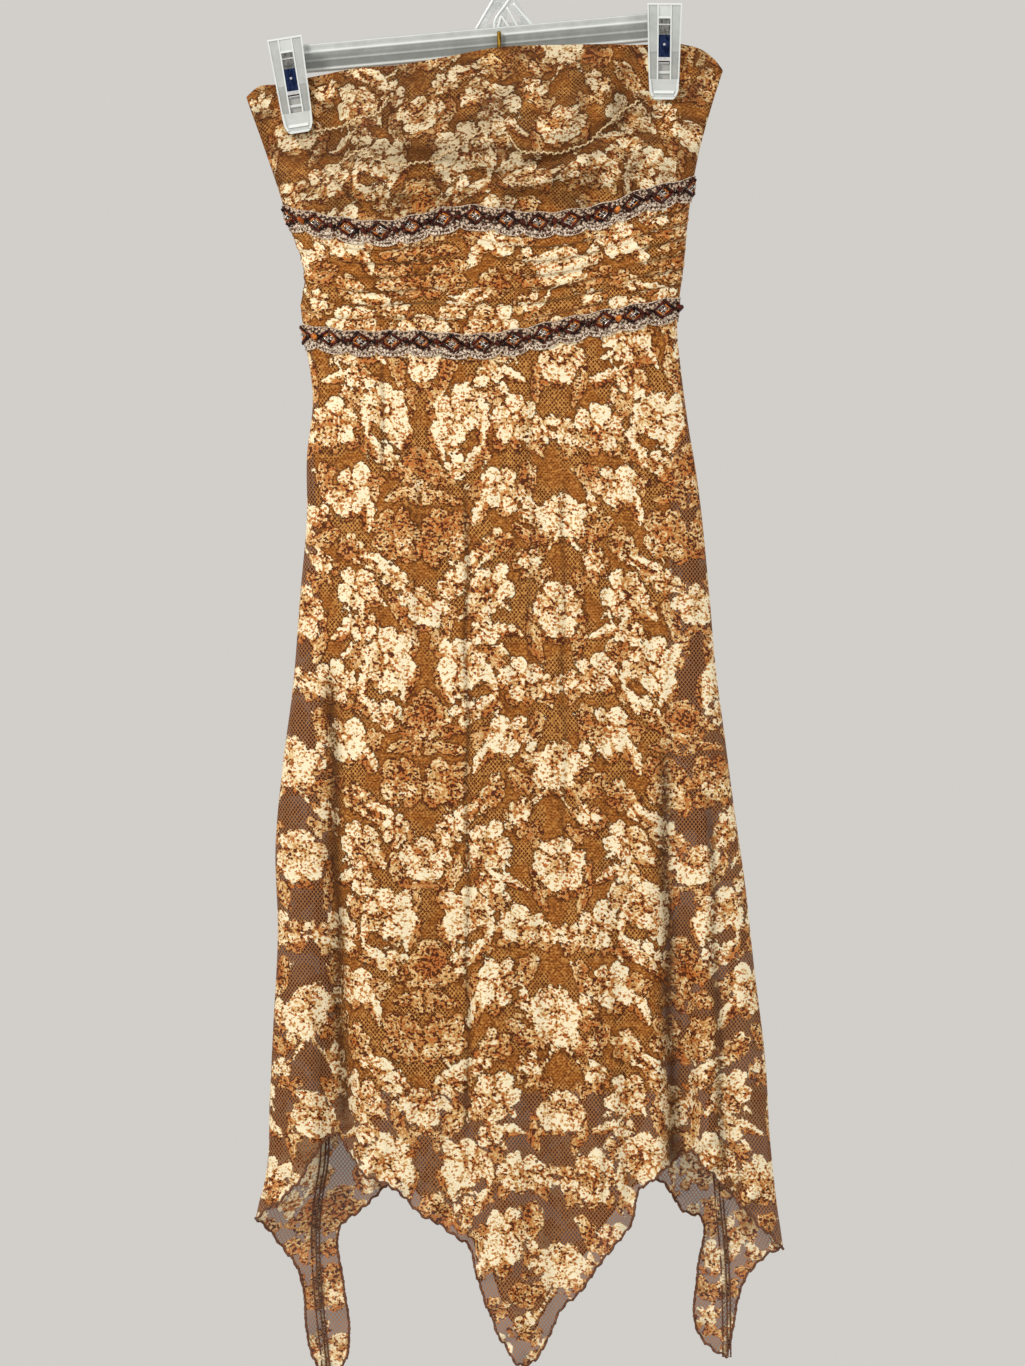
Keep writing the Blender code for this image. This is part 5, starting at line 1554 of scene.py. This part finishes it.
LOW, HIGH = -CLIP_LENGTH / 2, CLIP_LENGTH / 2
GRIP_Y = -0.0294
FACE = ((LOW, 0.0030), (LOW + 0.010, 0.0026), (LOW + 0.026, 0.0042), (HIGH - 0.010, 0.0112), (HIGH, 0.0118))
CLIP_HALF_WIDTHS = (
    (LOW, 0.0078), (LOW + 0.002, 0.0102), (LOW + 0.007, 0.0124), (LOW + 0.018, 0.0131), (HIGH, 0.0150),
)
Beam = namedtuple("Beam", "left right low high out thick tint cover")
GREY_STEEL, BLUE_STEEL, BRIGHT_STEEL_AND_GLINT = 0, 1, 2


def centred(share, more, *others):
    """A beam that reaches as far to the left of the clip's middle as to the right."""
    return Beam((-share, -more), (share, more), *others)


CLIP_BEAMS = named_rows(Beam, (
    ((1, -0.0013), (1, 0), -0.030, HIGH, 0.0006, 0.0060, 0.85, 0.90),
    ((0, 0.0050), (0, 0.0062), -0.026, 0.0400, 0.0006, 0.0045, 0.95, 0.92),
    ((0, 0.0062), (1, -0.0013), -0.024, 0.0000, 0.0, 0.0008, 0.62, 0.45),
    ((0, 0.0062), (1, -0.0013), 0.0000, 0.0400, 0.0, 0.0008, 0.54, 0.80),
    ((1, -0.0020), (1, 0), -0.0385, -0.0235, 0.0020, 0.0034, 1.0, 0.85),
))
CLIP_CROSS_BEAMS = named_rows(centred, (
    (1, 0, 0.0395, HIGH, 0.0008, 0.0060, 1.0, 0.95),
    (0, 0.0050, 0.0298, 0.0395, 0.0, 0.0008, 0.72, 0.80),
    (0, 0.0054, 0.0280, 0.0298, 0.0004, 0.0020, 1.0, 0.96),
    (0, 0.0050, -0.0235, -0.0100, -0.0022, 0.0006, 0.70, 0.38),
    (0, 0.0050, -0.0186, -0.0164, -0.0008, 0.0014, 1.0, 0.72),
    (1, 0, LOW, -0.0235, 0.0010, 0.0022, 0.80, 0.66),
    (0, 0.0086, -0.0358, -0.0334, 0.0022, 0.0016, 1.0, 1.0),
    (1, 0, LOW, -0.0390, 0.0020, 0.0034, 1.0, 0.85),
))
SPRING_BEAMS = named_rows(centred, (
    (0, 0.0047, 0.0175, 0.0280, -0.0016, 0.0006, GREY_STEEL, 1.0),
    (0, 0.0049, 0.0225, 0.0236, -0.0008, 0.0006, BRIGHT_STEEL_AND_GLINT, 1.0),
    (0, 0.0049, 0.0146, 0.0160, -0.0012, 0.0008, GREY_STEEL, 1.0),
    (0, 0.0050, -0.0046, 0.0142, -0.0010, 0.0010, BLUE_STEEL, 1.0),
    # A narrow strip of bright steel in the middle of the blue plate: a painted glint.
    (0, 0.0009, 0.0052, 0.0070, -0.0002, 0.0008, BRIGHT_STEEL_AND_GLINT, 1.0),
    (0, 0.0055, -0.0080, -0.0048, 0.0004, 0.0020, BRIGHT_STEEL_AND_GLINT, 1.0),
    (0, 0.0046, -0.0100, -0.0091, -0.0006, 0.0010, BRIGHT_STEEL_AND_GLINT, 1.0),
))
# Down the bar's front, from top to bottom: how far each rib stands out, and how white it is painted, with
# painted highlights on the rib tops and painted shade in the grooves.
BAR_RIBS_AND_SHINE = (
    (0.00, 0.30), (0.02, 0.95), (0.06, 0.60), (0.14, 0.48), (0.24, 0.56), (0.27, 0.95), (0.31, 1.00),
    (0.35, 0.30), (0.54, 0.14), (0.60, 0.52), (0.66, 0.12), (0.86, 0.14), (0.92, 0.95), (0.96, 0.70),
    (1.00, 0.20),
)
BAR_COLUMNS, BAR_ROWS = 70, 34
BAR_GROOVE = 0.0014
BAR_RISE = 0.0026
SHOWN_HEIGHT = 0.0242
FOOT_RIB_Y = -0.0150
FOOT_RIB_RADIUS = 0.0012
FOOT_RODS = (
    ((-0.0206, 0.0225), (-0.0040, 0.0510)),
    ((-0.0040, 0.0240), (-0.0040, 0.0290), (0.0050, 0.0440), (0.0100, 0.0510)),
    ((0.0018, 0.0350), (0.0094, 0.0240)),
    ((0.0066, 0.0425), (0.0170, 0.0245)),
    ((0.0120, 0.0463), (0.0290, 0.0262)),
    ((-0.0010, 0.0247), (0.0018, 0.0350)),
)


def clip_frame(clip):
    """A function that places a point of the clip, given across its width, in depth and along its length."""
    along = Vector((clip.x_top - clip.x_low, 0, clip.z_top - clip.z_low)).normalized()
    across = Vector((along.z, 0, -along.x))
    centre = Vector(((clip.x_top + clip.x_low) / 2, 0, (clip.z_top + clip.z_low) / 2))
    return lambda u, y, w: centre + across * u + along * w + Vector((0, y, 0))


def give_plastic(made, tint, cover):
    """Stores how white the clear plastic is at each point, and how much it hides. On the bar, the whiteness
    holds painted highlights and shade.
    """
    give(made, "tint", tint)
    give(made, "cover", cover)


def beam_rings(beam, side):
    """The corners of a beam of a clip, ring by ring along it. side is -1 for its mirror image."""
    rings = []
    for w in np.linspace(beam.low, beam.high, max(2, int((beam.high - beam.low) / 0.004) + 1)):
        half = np.interp(w, *zip(*CLIP_HALF_WIDTHS))
        u = [side * (share * half + more) for share, more in (beam.left, beam.right)]
        front = GRIP_Y - np.interp(w, *zip(*FACE)) - beam.out
        back = front + beam.thick
        rings.append([(u[0], front, w), (u[1], front, w), (u[1], back, w), (u[0], back, w)])
    return rings


def joined_beams(name, place, beams, looks, by_slot):
    """Beams of a clip as one object: tint is a beam's look if by_slot is set, and else how white it is."""
    points, faces, slots, tint, cover = [], [], [], [], []
    for beam, side in beams:
        rings = beam_rings(beam, side)
        first = len(points)
        for ring in rings:
            points += [place(*corner) for corner in ring]
        made = ring_faces(4, len(rings), first)
        made += [tuple(range(end, end + 4)) for end in (first, first + 4 * len(rings) - 4)]
        faces += made
        slots += [beam.tint if by_slot else 0] * len(made)
        tint += [beam.tint] * 4 * len(rings)
        cover += [beam.cover] * 4 * len(rings)
    made = new_object(name, points, faces, looks, slots)
    made.data.shade_flat()
    give_plastic(made, tint, cover)
    return made


def make_clip(clip, plastic, steels):
    place = clip_frame(clip)
    beams = [(beam, side) for beam in CLIP_BEAMS for side in (-1, 1)]
    beams += [(beam, 1) for beam in CLIP_CROSS_BEAMS]
    made = joined_beams(f"clip_{clip.name}_shell", place, beams, [plastic], False)
    shown_as(made, [f"clip_{clip.name}_front"])
    plates = [(beam, 1) for beam in SPRING_BEAMS]
    made = joined_beams(f"spring_{clip.name}_plates", place, plates, steels, True)
    shown_as(made, [f"spring_{clip.name}"])


def make_bar(plastic):
    """The bar: a channel section with rounded ribs along its front, with painted highlights on the rib tops
    and painted shade in the grooves.
    """
    shares = np.linspace(0, 1, BAR_ROWS)
    rib_shine = np.interp(shares, *zip(*BAR_RIBS_AND_SHINE))
    xs = np.linspace(BAR_X_LEFT, BAR_X_RIGHT, BAR_COLUMNS)
    points, tint = [], []
    fronts = BAR_FRONT_Y + BAR_GROOVE * (1 - rib_shine)
    for x in xs:
        top = BAR_TOP_Z + x * math.tan(BAR_TILT) + BAR_RISE
        points += [(x, y, top - SHOWN_HEIGHT * share) for share, y in zip(shares, fronts)]
        points += [(x, BAR_BACK_Y, top - SHOWN_HEIGHT), (x, BAR_BACK_Y, top)]
        tint += [*rib_shine, 0.4, 0.8]
    ring = len(shares) + 2
    faces = ring_faces(ring, len(xs)) + ring_ends(ring, len(xs), False)
    made = new_object("bar_ribbed", points, faces, [plastic])
    give_plastic(made, tint, np.full(len(points), 0.96))
    shown_as(made, ["hanger_bar"])
    for k, path in enumerate(FOOT_RODS):
        line = smooth_path(path, 0.0015) if len(path) > 2 else np.linspace(*np.array(path), 12)
        line = np.stack([line[:, 0], np.full(len(line), FOOT_RIB_Y), line[:, 1]], axis=1)
        made = tube_along(f"foot_rib_{k}", line, FOOT_RIB_RADIUS, plastic, 8)
        count = len(made.data.vertices)
        give_plastic(made, np.ones(count), np.full(count, 0.95))
        shown_as(made, [])


# Light, floor and camera.


Lamp = namedtuple("Lamp", "name place size power colour")
LAMPS = (
    Lamp("key", (-1.7, -1.9, 1.3), 0.7, 56.0, (1.0, 0.97, 0.92)),
    Lamp("fill", (1.5, -1.9, -0.1), 1.2, 9.0, (0.95, 0.97, 1.0)),
    Lamp("rim", (0.9, 1.3, 1.2), 0.8, 14.0, (1.0, 1.0, 1.0)),
)
ROOM_COLOUR = (205, 202, 197)
ROOM_STRENGTH = 1.04
FLOOR_HALF_WIDTH = 1.1
FLOOR_Y = (-1.35, 0.42)
FLOOR_Z = -1.32
SENSOR_HEIGHT = 24.0
MIDDLE_Y = -0.04


def area_light(lamp, target):
    light = bpy.data.lights.new(lamp.name, "AREA")
    light.shape = "DISK"
    light.size, light.energy, light.color = lamp.size, lamp.power, lamp.colour
    made = bpy.data.objects.new(lamp.name, light)
    made.location = lamp.place
    made.rotation_euler = (target - Vector(lamp.place)).to_track_quat("-Z", "Y").to_euler()
    bpy.context.scene.collection.objects.link(made)


METRES_PER_PIXEL = 0.000857
ORIGIN_PIXEL = (499.0, 54.0)
IMAGE_SIZE = (1025, 1366)
CAMERA_AWAY = 6.0


def make_studio():
    scene = bpy.context.scene
    scene.view_settings.view_transform = "Standard"
    world = bpy.data.worlds.new("pale_room")
    scene.world = world
    world.use_nodes = True
    sky = world.node_tree.nodes["Background"]
    sky.inputs["Color"].default_value = linear(ROOM_COLOUR)
    sky.inputs["Strength"].default_value = ROOM_STRENGTH
    middle = Vector((
        (IMAGE_SIZE[0] / 2 - ORIGIN_PIXEL[0]) * METRES_PER_PIXEL,
        MIDDLE_Y,
        (ORIGIN_PIXEL[1] - IMAGE_SIZE[1] / 2) * METRES_PER_PIXEL,
    ))
    for lamp in LAMPS:
        area_light(lamp, middle)
    lens = bpy.data.cameras.new("camera")
    lens.sensor_fit = "VERTICAL"
    lens.sensor_height = SENSOR_HEIGHT
    lens.lens = SENSOR_HEIGHT * CAMERA_AWAY / (IMAGE_SIZE[1] * METRES_PER_PIXEL)
    camera = bpy.data.objects.new("camera", lens)
    camera.location = middle - Vector((0, CAMERA_AWAY, 0))
    camera.rotation_euler = (math.pi / 2, 0, 0)
    scene.collection.objects.link(camera)
    scene.camera = camera
    look = Look("floor")
    speck = look.noise(look.place(), 30.0, 2.0)
    look.set(Base_Color=look.mix(speck, (206, 203, 199), (214, 211, 207)), Roughness=0.8)
    x, (near, far) = FLOOR_HALF_WIDTH, FLOOR_Y
    corners = [(-x, near, FLOOR_Z), (x, near, FLOOR_Z), (x, far, FLOOR_Z), (-x, far, FLOOR_Z)]
    floor = new_object("floor", corners, [(0, 1, 2, 3)], [look.material])


look_of = {
    "lace": lace_look("lace"),
    "slip": satin_look("slip_satin", (178, 112, 44), (150, 88, 30)),
    "lining": satin_look("lining_satin", (150, 92, 40), (120, 70, 28)),
    "edging": thread_look("edging_thread", (132, 80, 48), (66, 36, 20)),
    "seam": thread_look("seam_thread", (216, 180, 140), (120, 80, 52), 500.0),
    "cream_thread": thread_look("cream_thread", (240, 222, 176), (170, 126, 80)),
    "silver_lace": braid_look(),
    "silver_thread": thread_look("silver_thread", (240, 226, 206), (140, 106, 80)),
    "dark_bead": bead_look("dark_bead", (84, 30, 14), (26, 8, 4), 0.22),
    "silver_bead": bead_look("silver_bead", (226, 218, 208), (170, 158, 148), 0.2, 0.8),
    "amber_bead": bead_look("amber_bead", (214, 128, 56), (140, 70, 28), 0.15),
    "plastic": plastic_look("clear_plastic"),
    "clear": clear_look("clear_edges"),
    "brass": metal_look("brass", (160, 126, 50), (84, 60, 18), 0.24),
    "steel": metal_look("blued_steel", (52, 66, 104), (22, 28, 50), 0.22),
    "grey_steel": metal_look("grey_steel", (150, 150, 146), (96, 96, 94), 0.30),
    # Bright steel of the spring's lips, also used for a painted glint on the blue plate.
    "bright_steel_and_glint": metal_look("bright_steel_and_glint", (250, 250, 252), (226, 228, 232), 0.12),
}

make_skirt(look_of["lace"], look_of["edging"], look_of["seam"])
make_slip("slip_front_satin", ["slip_front"], 0.0, look_of["slip"])
make_slip("slip_back_satin", ["slip_back", "slip_back_left", "slip_back_right"], math.pi, look_of["slip"])
make_lining(look_of["lining"])
make_drape_edges(look_of["cream_thread"])
for side, start in (("front", 0.0), ("back", math.pi)):
    make_band(
        f"bodice_{side}_lace", f"bodice_{side}", start, top_edge, under_bust, fine_bodice, look_of["lace"],
        84, True, 0.0
    )
    make_band(
        f"midriff_{side}_lace", f"midriff_{side}", start, under_bust, waist, fine_midriff, look_of["lace"],
        90, False, 0.0026
    )
bead_looks = [look_of["dark_bead"], look_of["silver_bead"], look_of["amber_bead"]]
for name, seam, motifs in (("upper", under_bust, UPPER_MOTIFS), ("lower", waist, LOWER_MOTIFS)):
    braid = Braid(seam, motifs)
    nodes = [f"trim_{name}_front", f"trim_{name}_back"]
    lace = braid_lace(f"braid_{name}", nodes, braid, look_of["silver_lace"])
    beads = braid_beads(f"beads_{name}", braid, bead_looks, 7)

for clip in CLIPS:
    make_clip(clip, look_of["clear"], [look_of[steel] for steel in ("grey_steel", "steel", "bright_steel_and_glint")])
make_bar(look_of["clear"])
for node in ("hanger_foot", "hanger_hook", "clip_left_back", "clip_right_back", "wall_hook"):
    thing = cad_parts[node]
    thing.data.materials.clear()
    thing.data.materials.append(look_of["brass" if node == "wall_hook" else "plastic"])

make_studio()
